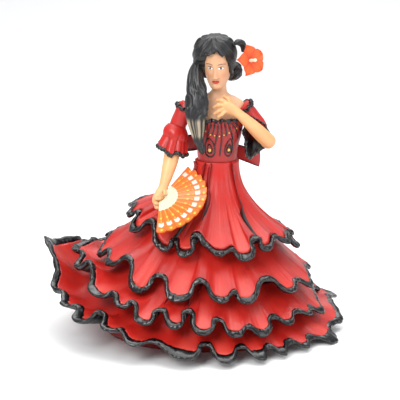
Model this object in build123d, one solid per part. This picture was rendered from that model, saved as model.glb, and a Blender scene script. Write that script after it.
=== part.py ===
from build123d import *
import math
import os

# Souvenir dancer figurine in moulded, painted plastic, built piece by piece in millimetres.
# +Z is up, the dancer faces -Y, and the origin lies on the resting plane under the waist.

# ---- Driving sizes (mm) ----
WAIST_HEIGHT = 58.0      # top of the skirt above the shelf
SKIRT_SPREAD = 1.0       # width of every flounce against the standard skirt
FLOUNCE_WALL = 1.3       # wall of the moulded flounces
EDGE_SIZE = 1.0          # size of the raised edge borders against the standard ones
FAN_RADIUS = 15.8        # pivot to the outer edge of the fan
FAN_THICKNESS = 0.9      # moulded fan sheet
NECK_PEG = 1.5           # radius of the peg that carries the head
ARM_PEG = 1.3            # radius of the pegs that carry the forearms
WAIST_PEG = 3.0          # radius of the peg that carries the body
BASE_THICKNESS = 2.0     # closing plate under the skirt
CORE_WALL = 2.2          # wall of the hollow skirt core
GLUE_GAP = 0.05          # room left for glue between pieces that are bonded together
SKIN_GAP = 0.15          # room between a hollow piece and the shape it is slipped over
EDGE_GAP = 0.4           # room between a flounce and the bead along its hem
PEG_GAP = 0.08           # room round every peg

# ---- Sampling ----
STEPS_PER_KNOT = 3       # columns between two control points of a hem
OFFCUT_SHARE = 0.1       # solids smaller than this share of the largest are offcuts

# Heights of the upper body are given for the standard waist and move with it.
STANDARD_WAIST = 58.0
LIFT = WAIST_HEIGHT - STANDARD_WAIST
SKIRT_TALL = WAIST_HEIGHT / STANDARD_WAIST


def smooth_loop(points):
    """Closed smooth wire through points."""
    return Wire([Edge.make_spline([Vector(*point) for point in points], periodic=True)])


def bead_loop(points):
    """Closed wire of two smooth halves through an even number of points."""
    points = [Vector(*point) for point in points]
    half = len(points) // 2
    first = Edge.make_spline(points[:half + 1])
    return Wire([first, Edge.make_spline(points[half:] + points[:1])])


def thin_loop(outer, inner):
    """Closed wire round a thin wall: two long smooth edges joined by two short straight ones."""
    outer = [Vector(*point) for point in outer]
    inner = [Vector(*point) for point in inner]
    return Wire([
        Edge.make_spline(outer),
        Edge.make_line(outer[-1], inner[-1]),
        Edge.make_spline(inner[::-1]),
        Edge.make_line(inner[0], outer[0]),
    ])


def closed_ring(loops, span=6):
    """Solid whose closed section is carried round a closed course, like a wreath."""
    count = len(loops)
    faces = []
    for first in range(0, count, span):
        last = min(first + span, count)
        picked = [loops[k % count] for k in range(first, last + 1)]
        faces += Shell.make_loft(picked, ruled=False).faces()
    return Solid(Shell(faces))


def stacked(rings, ruled=False):
    """Solid through a stack of closed rings, closed by a flat cap at both ends."""
    return Solid.make_loft([smooth_loop(ring) for ring in rings], ruled=ruled)


def blend(a, b, share):
    """Value the given share of the way from a to b."""
    return a + (b - a) * share


def spline_value(values, position, closed=False):
    """Smooth curve through evenly numbered tuples, read at a fractional number."""
    count = len(values)
    index = int(math.floor(position))
    if not closed:
        index = min(max(index, 0), count - 2)
    share = position - index
    if closed:
        picked = [values[(index + k) % count] for k in (-1, 0, 1, 2)]
    else:
        picked = [values[min(max(index + k, 0), count - 1)] for k in (-1, 0, 1, 2)]
    result = []
    for before, here, after, beyond in zip(*picked):
        slope_here = (after - before) / 2
        slope_after = (beyond - here) / 2
        step = after - here
        curve = share * share * (3 - 2 * share)
        rise = share * (1 - share) ** 2
        fall = share * share * (share - 1)
        result.append(here + step * curve + slope_here * rise + slope_after * fall)
    return result


def unit(vector):
    """Vector of length one."""
    return vector / vector.length


# ---- Skirt ----
# Each hem is a list of folds: (direction in degrees, lean, height of the border's middle).
# Lean is +1 where the fold stands out furthest and -1 where it tucks in.
OVERSKIRT_FOLDS = (
    (180, -0.6, 42.5), (190, 0.6, 40.5), (198, -0.8, 42.0), (207, 1.0, 37.5), (220, -0.7, 41.0),
    (236, 1.0, 34.0), (242, -0.6, 36.3), (252, 1.0, 33.0), (258, -1.0, 38.5), (265, -0.4, 35.6),
    (275, 0.7, 33.2), (284, -0.1, 34.0), (292, 1.0, 31.5), (303, -1.0, 36.2), (309, 0.7, 33.3),
    (322, -0.7, 35.5), (332, 0.5, 33.5), (341, -0.5, 34.5), (351, 1.0, 30.0),
)
SECOND_FOLDS = (
    (186, 0.7, 26.8), (196, -0.7, 29.2), (209, 0.7, 27.0), (221, -0.8, 29.8), (232, 1.0, 21.3),
    (243, -0.9, 26.2), (255, 1.0, 20.2), (266, -0.8, 25.4), (276, 0.8, 20.0), (284, -0.3, 21.8),
    (290, 0.9, 19.3), (304, -0.9, 24.6), (317, 0.8, 19.8), (328, -0.5, 21.5), (340, 0.7, 18.4),
    (350, -0.4, 19.8),
)
THIRD_FOLDS = (
    (177, 0.7, 26.5), (186, -0.6, 26.8), (196, 0.6, 24.0), (205, -0.7, 26.6), (219, 1.0, 19.4),
    (226, -0.3, 20.2), (233, 0.7, 17.3), (238, -0.5, 18.3), (245, 1.0, 13.5), (251, -0.8, 17.0),
    (259, 0.8, 13.2), (264, -1.0, 17.0), (271, 1.0, 11.5), (278, -0.7, 14.3), (285, 0.9, 10.3),
    (292, -0.2, 11.4), (299, 0.8, 9.4), (306, -0.8, 12.8), (313, 0.6, 10.8), (321, -0.5, 12.6),
    (329, 0.5, 11.2), (335, -0.4, 11.6), (343, 0.8, 9.4), (351, -0.3, 10.6),
)
HEM_FOLDS = (
    (180, 0.6, 28.5), (189, -0.6, 22.5), (197, 0.4, 17.3), (204, -0.4, 16.6), (212, 0.6, 14.5),
    (218, -0.2, 14.6), (224, 1.0, 11.6), (230, -0.8, 14.4), (237, 0.8, 10.8), (241, 0.0, 10.6),
    (247, 0.7, 7.6), (254, -0.3, 7.9), (261, 0.5, 6.4), (268, 1.0, 5.0), (274, -0.7, 7.2),
    (281, 1.0, 3.8), (288, -0.5, 5.9), (294, 0.8, 3.7), (300, -0.4, 4.6), (305, 0.6, 3.3),
    (311, -0.8, 4.4), (317, 0.5, 3.0), (324, -0.6, 3.8), (333, 1.0, 2.6), (343, -0.3, 3.6),
    (352, 0.6, 4.6),
)

# Every flounce: middle of its oval, half width, half depth, how far a fold leans, and the
# level line of its hem as (mean, right-left, back-front, oval) parts of the direction.
OVERSKIRT = dict(
    middle=-1.7, width=27.3, depth=25.0, lean=1.7, level=(36.1, -5.2, 2.2, 0.3), sag=0.0,
    folds=OVERSKIRT_FOLDS, back=(0, 170, 14, 1.0), border=1.15, border_thick=0.95,
)
SECOND = dict(
    middle=-3.2, width=35.4, depth=32.5, lean=1.9, level=(24.0, -5.5, 2.0, 0.2), sag=1.0,
    folds=SECOND_FOLDS, back=(0, 176, 15, 1.3), border=1.2, border_thick=0.95,
)
THIRD = dict(
    middle=-5.5, width=40.8, depth=38.0, lean=2.1, level=(16.6, -7.7, 2.0, 1.6), sag=4.6,
    folds=THIRD_FOLDS, back=(0, 168, 15, 1.2), border=1.2, border_thick=0.95,
)
HEM = dict(
    middle=-7.2, width=48.7, depth=42.0, lean=2.3, level=(12.4, -9.5, 1.8, 5.1), sag=6.5,
    folds=HEM_FOLDS, back=(0, 171, 16, 0.9), border=1.5, border_thick=1.0,
)

# Waist oval of the skirt and the bell curve down to the first hem.
WAIST_WIDTH = 7.4
WAIST_DEPTH = 6.4
BELL_POWER = 2.2


def level_line(tier, degrees):
    """Mean height of a hem in one direction."""
    mean, sideways, backward, oval = tier["level"]
    turn = math.radians(degrees)
    height = mean + sideways * math.cos(turn) + backward * math.sin(turn)
    return (height + oval * math.cos(2 * turn)) * SKIRT_TALL


def hem_knots(tier):
    """All folds of a hem: the ones listed, then even ruffles across the back."""
    first, last, count, swing = tier["back"]
    knots = []
    for k in range(count):
        degrees = first + (last - first) * (k + 0.5) / count
        side = 1 if k % 2 else -1
        size = 0.75 + 0.25 * math.sin(2.3 * k + 0.8)
        height = level_line(tier, degrees) / SKIRT_TALL - side * swing * size
        knots.append((degrees, side * size, height))
    listed = [(degrees, lean, height) for degrees, lean, height in tier["folds"]]
    return knots + listed


def hem_columns(tier):
    """Directions, leans and heights at close steps round a hem, from the right-hand side."""
    knots = hem_knots(tier)
    wrapped = [(d - 360, lean, h) for d, lean, h in knots[-2:]]
    ahead = [(d + 360, lean, h) for d, lean, h in knots[:2]]
    line = wrapped + knots + ahead
    columns = []
    for k in range(len(knots)):
        for step in range(STEPS_PER_KNOT):
            degrees, lean, height = spline_value(line, 2 + k + step / STEPS_PER_KNOT)
            columns.append((degrees, lean, height * SKIRT_TALL))
    return columns


def hem_point(tier, degrees, lean, height):
    """Middle of the border at one place of a hem."""
    turn = math.radians(degrees)
    width = tier["width"] * SKIRT_SPREAD + tier["lean"] * lean
    depth = tier["depth"] * SKIRT_SPREAD + tier["lean"] * lean
    x = tier["middle"] + width * math.cos(turn)
    return Vector(x, depth * math.sin(turn), height)


def seat_point(upper, degrees):
    """Place on the core where the flounce below the given one is glued."""
    turn = math.radians(degrees)
    left = max(0.0, -math.cos(turn))
    right = max(0.0, math.cos(turn))
    drop = SEAT_RISE - left * SEAT_LEFT_DROP[upper["width"]]
    drop -= right * SEAT_RIGHT_DROP[upper["width"]]
    width = upper["width"] * SKIRT_SPREAD - SEAT_INSET
    depth = upper["depth"] * SKIRT_SPREAD - SEAT_INSET
    x = upper["middle"] + width * math.cos(turn)
    return Vector(x, depth * math.sin(turn), level_line(upper, degrees) + drop)


SEAT_INSET = 8.4         # the flounce below starts this far inside the hem above
SEAT_RISE = 1.2          # and this far above its level line
SEAT_LEFT_DROP = {27.3: 0.0, 35.4: 1.0, 40.8: 5.2}
SEAT_RIGHT_DROP = {27.3: 0.0, 35.4: 0.0, 40.8: 2.2}


def waist_point(degrees, outward=0.0, height=0.0):
    """Point on the waist oval, moved outwards and upwards."""
    turn = math.radians(degrees)
    x = (WAIST_WIDTH + outward) * math.cos(turn)
    return Vector(x, (WAIST_DEPTH + outward) * math.sin(turn), WAIST_HEIGHT + height)


def flounce_point(tier, start, column, share, power, sag):
    """Point of a flounce between its glued edge (0) and the middle of its border (1)."""
    degrees, lean, height = column
    calm = hem_point(tier, degrees, 0.0, level_line(tier, degrees))
    full = hem_point(tier, degrees, lean, height)
    wave = share ** 2
    across = share ** power
    left = 0.5 - 0.5 * math.cos(math.radians(degrees))
    x = blend(start.X, calm.X, across) + (full.X - calm.X) * wave
    y = blend(start.Y, calm.Y, across) + (full.Y - calm.Y) * wave
    z = blend(start.Z, calm.Z, share) + (full.Z - calm.Z) * wave
    z -= sag * left * left * math.sin(math.pi * share)
    return Vector(x, y, z)


def column_normal(grid, i, j):
    """Outward direction of a ring-shaped grid of points."""
    count = len(grid[i])
    along = grid[i][(j + 1) % count] - grid[i][(j - 1) % count]
    down = grid[min(i + 1, len(grid) - 1)][j] - grid[max(i - 1, 0)][j]
    return unit(down.cross(along))


def shell_ring(grid, wall, span=6):
    """Thin ring-shaped shell: the grid is its outer face and the wall lies inside it."""
    loops = []
    for j in range(len(grid[0])):
        outer = [row[j] for row in grid]
        inner = [row[j] - column_normal(grid, i, j) * wall for i, row in enumerate(grid)]
        loops.append(thin_loop(outer, inner))
    return closed_ring(loops, span)


def oval_loop(middle, half_height, half_thick, points=8):
    """Closed oval wire round a middle, given its two half axes."""
    loop = []
    for k in range(points):
        turn = 2 * math.pi * k / points
        loop.append(middle + half_height * math.cos(turn) + half_thick * math.sin(turn))
    return bead_loop(loop)


def border_ring(middles, downs, outs, half_height, half_thick, points=8):
    """Rounded border bead that follows a closed line of middles."""
    loops = []
    for middle, down, out in zip(middles, downs, outs):
        loops.append(oval_loop(middle, down * half_height, out * half_thick, points))
    return closed_ring(loops)


SHARES = (0.0, 0.1, 0.28, 0.48, 0.68, 0.86, 1.0)


def flounce(tier, starts, power):
    """One flounce and the border along its hem, as two solids."""
    columns = hem_columns(tier)
    half = tier["border"] * EDGE_SIZE
    thick = tier["border_thick"] * EDGE_SIZE
    grid = [[] for _ in SHARES]
    middles, downs, outs = [], [], []
    for column in columns:
        start = starts(column[0])
        line = [flounce_point(tier, start, column, k / 40, power, tier["sag"]) for k in range(41)]
        length = sum((b - a).length for a, b in zip(line, line[1:]))
        edge = 1 - (half + EDGE_GAP) / length
        for i, share in enumerate(SHARES):
            place = flounce_point(tier, start, column, share * edge, power, tier["sag"])
            grid[i].append(place)
        middles.append(line[-1])
        downs.append(unit(line[-1] - line[-2]))
    wall_grid = [grid[-2], grid[-1]]
    for j in range(len(columns)):
        outs.append(column_normal(wall_grid, 1, j))
    offset = FLOUNCE_WALL / 2
    middles = [middle - out * offset for middle, out in zip(middles, outs)]
    return shell_ring(grid, FLOUNCE_WALL), border_ring(middles, downs, outs, half, thick)


def core_rings(inset=0.0, bottom=0.0):
    """Rings of the bell-shaped core from under the base to the waist."""
    directions = [90 + 360 * k / 48 for k in range(48)]
    glued = FLOUNCE_WALL + GLUE_GAP
    rings = []
    lower = (CORE_FLARE_LEVEL, CORE_FOOT_WIDTH + CORE_FLARE, CORE_FOOT_DEPTH + CORE_FLARE)
    for z, width, depth in ((bottom, CORE_FOOT_WIDTH, CORE_FOOT_DEPTH), lower):
        ring = []
        for degrees in directions:
            turn = math.radians(degrees)
            bulge = FOOT_LOBE * max(0.0, math.cos(math.radians(degrees - 318))) ** 6
            bulge *= 1 if z == bottom else 0.4
            x = CORE_FOOT_MIDDLE + (width * SKIRT_SPREAD + bulge - inset) * math.cos(turn)
            y = (depth * SKIRT_SPREAD + bulge - inset) * math.sin(turn)
            ring.append(Vector(x, y, z * SKIRT_TALL))
        rings.append(ring)
    for upper in (THIRD, SECOND, OVERSKIRT):
        ring = []
        for degrees in directions:
            seat = seat_point(upper, degrees)
            inward = unit(Vector(upper["middle"] - seat.X, -seat.Y, 0))
            under = CORE_UNDER + inset * 0.5
            ring.append(seat + inward * (glued + inset) - Vector(0, 0, under))
        rings.append(ring)
    for down, outward in ((12.0, 1.0), (6.5, -0.5), (0.6, -0.5)):
        ring = []
        for degrees in directions:
            place = waist_point(degrees, outward - glued - inset, -down * SKIRT_TALL)
            ring.append(place)
        rings.append(ring)
    return rings


CORE_FOOT_WIDTH = 33.0
CORE_FOOT_DEPTH = 29.0
CORE_FOOT_MIDDLE = -6.0
FOOT_LOBE = 3.0
CORE_FLARE = 3.0         # how far the foot widens up to its flare level
CORE_FLARE_LEVEL = 3.5
CORE_UNDER = 2.2         # drop of the core below each glued edge, clear of the flounce wall


# ---- Body ----
def raised(point):
    """Point of the upper body, moved with the waist."""
    return Vector(point[0], point[1], point[2] + LIFT)


def oval_ring(z, x, y, half_width, half_depth, grow=0.0, points=16):
    """Level oval as a ring of points."""
    ring = []
    for k in range(points):
        turn = math.radians(90 + 360 * k / points)
        across = x + (half_width + grow) * math.cos(turn)
        along = y + (half_depth + grow) * math.sin(turn)
        ring.append(Vector(across, along, z + LIFT))
    return ring


def limb(path, side_hint=(0, 1, 0), points=12):
    """Tapering limb along (x, y, z, half width, half thickness) stations.

    The half thickness lies along the hinted side, the half width across it.
    """
    centres = [raised(station) for station in path]
    rings = []
    for k, station in enumerate(path):
        before = centres[max(k - 1, 0)]
        after = centres[min(k + 1, len(path) - 1)]
        tangent = unit(after - before)
        across = unit(tangent.cross(Vector(*side_hint)))
        through = unit(across.cross(tangent))
        ring = []
        for i in range(points):
            turn = 2 * math.pi * i / points
            place = centres[k] + across * station[3] * math.cos(turn)
            place += through * station[4] * math.sin(turn)
            ring.append(place)
        rings.append(ring)
    return stacked(rings)


def ball(centre, radius):
    """Ball at a place of the upper body."""
    return Pos(*raised(centre)) * Sphere(radius)


def peg_between(start, end, radius):
    """Round peg from one place of the upper body to another."""
    first = raised(start)
    line = raised(end) - first
    return Plane(origin=first, z_dir=line) * Cylinder(
        radius, line.length, align=(Align.CENTER, Align.CENTER, Align.MIN)
    )


def one_solid(shape):
    """Largest solid of a shape, with slivers left by a cut dropped."""
    return sorted(shape.solids(), key=lambda solid: solid.volume)[-1]


def kept(shape):
    """Solids left by a cut, without the small offcuts."""
    solids = shape.solids()
    largest = max(solid.volume for solid in solids)
    solids = [solid for solid in solids if solid.volume > OFFCUT_SHARE * largest]
    return solids[0] if len(solids) == 1 else Compound(children=solids)


# Levels of the body: (height, x, y, half width, half depth).
TRUNK = (
    (58.7, 0.1, 0.0, 5.6, 4.6), (62.0, 0.1, 0.0, 5.9, 4.8), (66.0, 0.2, -0.2, 6.8, 5.4),
    (69.5, 0.3, -0.7, 7.3, 5.9), (72.5, 0.1, -0.6, 7.8, 5.6), (75.2, -0.5, 0.0, 8.9, 4.7),
    (77.3, -0.8, 0.4, 9.6, 3.9), (78.9, -0.4, 0.6, 7.0, 3.2), (80.2, 0.3, 0.5, 3.6, 2.7),
    (81.8, 0.7, 0.2, 2.4, 2.4), (83.6, 0.8, -0.1, 2.3, 2.3),
)
BODICE_LEVELS = TRUNK[:5]
BODICE_WALL = 0.9
SHOULDERS = {"right": (-9.7, 0.4, 76.4), "left": (8.0, 0.4, 76.4)}
SHOULDER_RADIUS = 2.7
NECK_TOP = (0.8, -0.1, 83.6)
NECK_LEAN = (0.3, -0.6, 3.0)
WAIST_PEG_DEPTH = 4.0


def torso():
    """Trunk, shoulders and neck, with the peg for the head and the peg for the skirt."""
    trunk = stacked([oval_ring(*level) for level in TRUNK])
    for centre in SHOULDERS.values():
        trunk = trunk + ball(centre, SHOULDER_RADIUS)
    head_end = tuple(a + b for a, b in zip(NECK_TOP, NECK_LEAN))
    trunk = trunk + peg_between((NECK_TOP[0], NECK_TOP[1], NECK_TOP[2] - 1), head_end, NECK_PEG)
    waist_end = (0, 0, STANDARD_WAIST - WAIST_PEG_DEPTH)
    trunk = trunk + peg_between((0, 0, 60.0), waist_end, WAIST_PEG)
    return one_solid(trunk)


def bodice():
    """Hollow bodice that is slipped over the trunk."""
    outer, inner = [], []
    for level in BODICE_LEVELS:
        outer.append(oval_ring(*level, grow=GLUE_GAP + BODICE_WALL))
        inner.append(oval_ring(*level, grow=SKIN_GAP))
    loops = []
    for j in range(len(outer[0])):
        loops.append(thin_loop([ring[j] for ring in outer], [ring[j] for ring in inner]))
    return closed_ring(loops, span=8)


def bodice_surface(degrees, height, lift=0.0):
    """Point on the bodice in one direction at one height, and the outward direction there."""
    heights = [level[0] for level in BODICE_LEVELS]
    spot = 0.0
    for k in range(len(heights) - 1):
        if heights[k] <= height <= heights[k + 1]:
            spot = k + (height - heights[k]) / (heights[k + 1] - heights[k])
    z, x, y, half_width, half_depth = spline_value(BODICE_LEVELS, spot)
    turn = math.radians(degrees)
    out = unit(Vector(math.cos(turn) / half_width, math.sin(turn) / half_depth, 0))
    grow = GLUE_GAP + BODICE_WALL
    place = Vector(
        x + (half_width + grow) * math.cos(turn), y + (half_depth + grow) * math.sin(turn),
        height + LIFT,
    )
    return place + out * lift, out


def gathered_ring(height, reach, half_height, half_thick, gathers, swing):
    """Gathered border round the trunk at one height."""
    middles, downs, outs = [], [], []
    steps = gathers * 4
    for k in range(steps):
        degrees = 90 + 360 * k / steps
        phase = 2 * math.pi * k / 4
        place, out = bodice_surface(degrees, height)
        wave = math.sin(phase + 0.6 * math.sin(degrees / 23))
        middles.append(place + out * (reach + swing * wave) + Vector(0, 0, 0.35 * wave))
        downs.append(Vector(0, 0, -1))
        outs.append(out)
    return border_ring(middles, downs, outs, half_height, half_thick)


PIPE_RADIUS = 0.22
# Raised lines on the bodice: (direction, height) stations, fanning out from the neckline.
BODICE_RAYS = (
    ((238, 71.2), (228, 68.8), (220, 66.0), (214, 63.2)),
    ((248, 71.3), (242, 69.0), (236, 66.8)),
    ((258, 71.4), (255, 69.6), (252, 67.6)),
    ((266, 71.4), (265, 69.0), (263, 66.6)),
    ((276, 71.4), (277, 69.0), (278, 66.0), (279, 62.8)),
    ((286, 71.4), (290, 69.2), (294, 67.0)),
    ((296, 71.3), (303, 69.2), (310, 67.2)),
    ((306, 71.2), (316, 69.4), (326, 67.4)),
)
# Teardrop loops: (direction, height) of the lower middle, half width in degrees, height.
BODICE_DROPS = ((248, 60.4, 17, 5.6), (301, 60.6, 14, 5.2))


def pipe(points, outs):
    """Half-sunk line of piping along points on a surface."""
    rings = []
    for k, (point, out) in enumerate(zip(points, outs)):
        tangent = unit(points[min(k + 1, len(points) - 1)] - points[max(k - 1, 0)])
        across = unit(tangent.cross(out))
        scale = 0.55 if k in (0, len(points) - 1) else 1.0
        ring = []
        for i in range(8):
            turn = 2 * math.pi * i / 8
            place = point + across * PIPE_RADIUS * scale * math.cos(turn)
            ring.append(place + out * PIPE_RADIUS * scale * math.sin(turn))
        rings.append(ring)
    return stacked(rings)


def bodice_piping():
    """Raised lines and teardrop loops on the front of the bodice."""
    lift = PIPE_RADIUS + 2 * GLUE_GAP
    pieces = []
    for ray in BODICE_RAYS:
        spots = [bodice_surface(degrees, height, lift) for degrees, height in ray]
        pieces.append(pipe([spot[0] for spot in spots], [spot[1] for spot in spots]))
    for degrees, height, half_width, tall in BODICE_DROPS:
        middles, downs, outs = [], [], []
        steps = 18
        for k in range(steps):
            turn = 2 * math.pi * k / steps
            rise = 0.5 - 0.5 * math.cos(turn)
            across = half_width * math.sin(turn) * (1 - 0.45 * rise)
            place, out = bodice_surface(degrees + across, height + tall * rise, lift)
            middles.append(place)
            outs.append(out)
        for k in range(steps):
            along = unit(middles[(k + 1) % steps] - middles[k - 1])
            downs.append(unit(along.cross(outs[k])))
        pieces.append(border_ring(middles, downs, outs, PIPE_RADIUS, PIPE_RADIUS))
    return Compound(children=pieces)


STUD_RADIUS = 0.35
BIG_STUD_RADIUS = 0.6
BODICE_STUDS = (
    (232, 68.6, STUD_RADIUS), (247, 67.2, STUD_RADIUS), (258, 66.9, STUD_RADIUS),
    (271, 67.0, STUD_RADIUS), (285, 67.6, STUD_RADIUS), (300, 68.4, STUD_RADIUS),
    (248, 62.4, BIG_STUD_RADIUS), (301, 62.5, BIG_STUD_RADIUS),
)


def bodice_studs():
    """Small gilded studs on the bodice."""
    studs = []
    for degrees, height, radius in BODICE_STUDS:
        place, _ = bodice_surface(degrees, height, radius + GLUE_GAP)
        studs.append(Pos(*place) * Sphere(radius))
    return Compound(children=[one_solid(stud) for stud in studs])


# ---- Sleeves ----
SLEEVES = {
    "right": ((-10.2, 0.4, 75.6, 2.9, 2.9), (-11.9, 0.7, 72.2, 2.95, 2.95),
              (-13.2, 0.6, 69.0, 2.75, 2.75), (-13.8, 0.3, 67.2, 2.6, 2.6)),
    "left": ((8.5, 0.5, 75.8, 2.8, 2.8), (10.9, 1.4, 73.0, 2.8, 2.8),
             (12.4, 1.9, 70.6, 2.6, 2.6), (12.9, 1.8, 69.0, 2.3, 2.3)),
}
# Rims of the sleeve ruffles as closed lines of points.
SLEEVE_RIMS = {
    "right": ((-10.2, -1.5, 61.0), (-11.4, -4.9, 59.9), (-14.6, -5.6, 60.9), (-17.6, -4.6, 61.9),
              (-19.6, -1.8, 63.3), (-18.7, 1.6, 63.6), (-15.6, 3.4, 62.8), (-12.2, 2.4, 61.8)),
    "left": ((10.2, -3.2, 72.6), (14.6, -2.6, 71.8), (18.0, -0.9, 66.6), (15.9, -0.8, 62.4),
             (10.8, -3.0, 59.2), (8.5, -4.2, 63.6), (8.1, -4.1, 69.0)),
}
SLEEVE_FLARE_TOP = {
    "right": ((-13.1, 0.6, 69.2), (-0.3, -0.15, -1.0)),
    "left": ((12.8, 2.0, 68.0), (-0.1, -0.85, -0.5)),
}
SLEEVE_FLARE_RADIUS = {"right": 3.85, "left": 3.3}
SLEEVE_WALL = 0.8
SLEEVE_BORDER = 0.75
SLEEVE_BORDER_THICK = 0.6


def sleeve_flare(side):
    """Flared ruffle of a sleeve and the border along its rim."""
    rim = [raised(point) for point in SLEEVE_RIMS[side]]
    top, axis = SLEEVE_FLARE_TOP[side]
    top = raised(top)
    axis = unit(Vector(*axis))
    count = len(rim) * 3
    tuples = [tuple(point) for point in rim]
    walls, beads = [], []
    for k in range(count):
        edge = Vector(*spline_value(tuples, k / 3, closed=True))
        ripple = math.sin(2 * math.pi * k * 3 / count)
        across = edge - top
        across = unit(across - axis * across.dot(axis))
        start = top + across * SLEEVE_FLARE_RADIUS[side]
        half = SLEEVE_BORDER * EDGE_SIZE
        line = unit(edge - start)
        stop = edge - line * (half + EDGE_GAP)
        outer = []
        for i in range(5):
            puff = 0.5 * math.sin(math.pi * i / 4) + 0.25 * ripple * i / 4
            outer.append(start + (stop - start) * (i / 4) + across * puff)
        walls.append(thin_loop(outer, [point - across * SLEEVE_WALL for point in outer]))
        out = unit(across - line * across.dot(line))
        middle = edge - across * SLEEVE_WALL / 2
        beads.append(oval_loop(middle, line * half, out * SLEEVE_BORDER_THICK * EDGE_SIZE))
    if closed_ring(walls, span=4).volume < 0:
        walls = walls[::-1]
        beads = beads[::-1]
    return closed_ring(walls, span=4), closed_ring(beads)


def shoulder_frill(side):
    """Small gathered frill round the top of a sleeve."""
    stations = SLEEVES[side]
    centre = raised(stations[0])
    axis = unit(raised(stations[1]) - centre)
    centre = centre - axis * 0.1
    across = unit(axis.cross(Vector(0, 1, 0)))
    through = unit(across.cross(axis))
    middles, outs, downs = [], [], []
    steps = 32
    for k in range(steps):
        turn = 2 * math.pi * k / steps
        out = across * math.cos(turn) + through * math.sin(turn)
        wave = math.cos(math.pi * k / 2)
        middles.append(centre + out * (stations[0][3] + 0.85 + 0.18 * wave) - axis * 0.2 * wave)
        outs.append(out)
        downs.append(axis)
    return border_ring(middles, downs, outs, 0.75, 0.55)


# ---- Arms and hands: (x, y, z, half width, half thickness) ----
RIGHT_FOREARM = (
    (-14.0, 0.0, 65.6, 2.2, 2.2), (-14.7, -1.6, 61.8, 2.6, 2.6), (-15.6, -3.9, 57.8, 2.5, 2.45),
    (-16.8, -6.4, 53.6, 2.0, 1.9), (-17.8, -8.3, 50.6, 1.6, 1.5), (-18.7, -9.6, 48.4, 2.0, 1.3),
    (-19.5, -10.5, 46.4, 2.1, 1.3), (-20.0, -11.0, 44.9, 1.4, 0.9),
)
LEFT_FOREARM = (
    (14.6, 0.0, 67.0, 1.9, 1.9), (16.6, -1.6, 64.9, 2.5, 2.5), (16.6, -3.6, 65.2, 2.5, 2.6),
    (13.6, -5.8, 68.4, 2.4, 2.3), (10.2, -7.3, 71.9, 2.0, 1.9), (7.2, -8.0, 74.7, 1.6, 1.5),
    (5.0, -7.9, 76.2, 2.1, 1.15), (2.9, -7.7, 77.0, 2.3, 0.95), (1.6, -7.5, 77.3, 1.6, 0.7),
)
FINGER_RADIUS = 0.62
RIGHT_FINGERS = (
    ((-20.4, -10.6, 47.6), (-20.2, -12.6, 47.4), (-18.8, -13.3, 47.6)),
    ((-20.6, -10.8, 46.3), (-20.3, -12.7, 45.9), (-18.9, -13.3, 45.9)),
    ((-20.4, -11.0, 45.0), (-20.0, -12.7, 44.5), (-18.8, -13.1, 44.5)),
    ((-18.2, -9.4, 49.0), (-17.3, -11.4, 49.7), (-17.3, -12.6, 49.0)),
)
LEFT_FINGERS = (
    ((3.2, -7.8, 78.4), (1.4, -7.9, 79.4), (0.0, -7.0, 79.2)),
    ((2.2, -7.9, 77.8), (0.4, -8.1, 77.9), (-1.0, -7.2, 77.0)),
    ((2.2, -7.8, 76.8), (0.4, -8.0, 75.9), (-0.9, -7.4, 74.9)),
    ((2.9, -7.8, 76.0), (1.5, -8.0, 74.8), (0.3, -7.8, 73.9)),
    ((4.6, -7.4, 77.6), (3.4, -6.4, 79.6), (2.2, -5.6, 80.2)),
)


def finger(points):
    """Finger with rounded ends through three joints."""
    (a, b, c) = points
    tip = tuple(q + (q - p) * 0.25 for p, q in zip(b, c))
    stations = []
    for point, size in ((a, 1.0), (b, 1.0), (c, 0.9), (tip, 0.45)):
        stations.append((*point, FINGER_RADIUS * size, FINGER_RADIUS * size))
    return limb(stations, side_hint=(0.2, 0.1, 1.0), points=8)


def arm(forearm, fingers, peg_from, peg_to):
    """Forearm with a hand, and the peg that fits the sleeve."""
    shape = limb(forearm, side_hint=(0.3, 1.0, 0.4))
    for points in fingers:
        shape = shape + finger(points)
    return one_solid(shape + peg_between(peg_from, peg_to, ARM_PEG))


# ---- Fan ----
FAN_PIVOT = (-18.7, -11.6, 46.9)
FAN_X = Vector(0.961, 0.068, 0.268)
FAN_Y = Vector(-0.193, 0.866, 0.461)
FAN_START = -104.0
FAN_END = 42.0
FAN_PLEATS = 12
HUB_SHARE = 0.385
FAN_INNER = 1.6
PLEAT_SLOPE = 0.035
FAN_FACE = unit(FAN_X.cross(FAN_Y))
FAN_PLANE = Plane(origin=raised(FAN_PIVOT), x_dir=FAN_X, z_dir=FAN_FACE)


def pleated_sector(inner, outer, slope, thickness, flat_rim=0.0):
    """Sector folded in pleats that all run out from the pivot."""
    edges = 2 * FAN_PLEATS + 1
    lower, upper = [], []
    for k in range(edges):
        turn = math.radians(blend(FAN_START, FAN_END, k / (edges - 1)))
        side = 1 if k % 2 else -1
        for rows, base in ((lower, 0.0), (upper, thickness)):
            line = []
            for radius in (inner, outer - (0.0 if k % 2 else flat_rim)):
                spot = (radius * math.cos(turn), radius * math.sin(turn))
                line.append(FAN_PLANE.from_local_coords((*spot, side * slope * radius + base)))
            rows.append(line)
    faces = []

    def patch(*corners):
        for trio in ((corners[0], corners[1], corners[2]), (corners[0], corners[2], corners[3])):
            faces.append(Face(Wire.make_polygon(list(trio), close=True)))

    for k in range(edges - 1):
        patch(lower[k][0], lower[k][1], lower[k + 1][1], lower[k + 1][0])
        patch(upper[k][0], upper[k + 1][0], upper[k + 1][1], upper[k][1])
        for end in (0, 1):
            patch(lower[k][end], lower[k + 1][end], upper[k + 1][end], upper[k][end])
    for k in (0, edges - 1):
        patch(lower[k][0], upper[k][0], upper[k][1], lower[k][1])
    solid = Solid(Shell(faces))
    return solid if solid.volume > 0 else Solid(Shell([-face for face in faces]))


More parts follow.
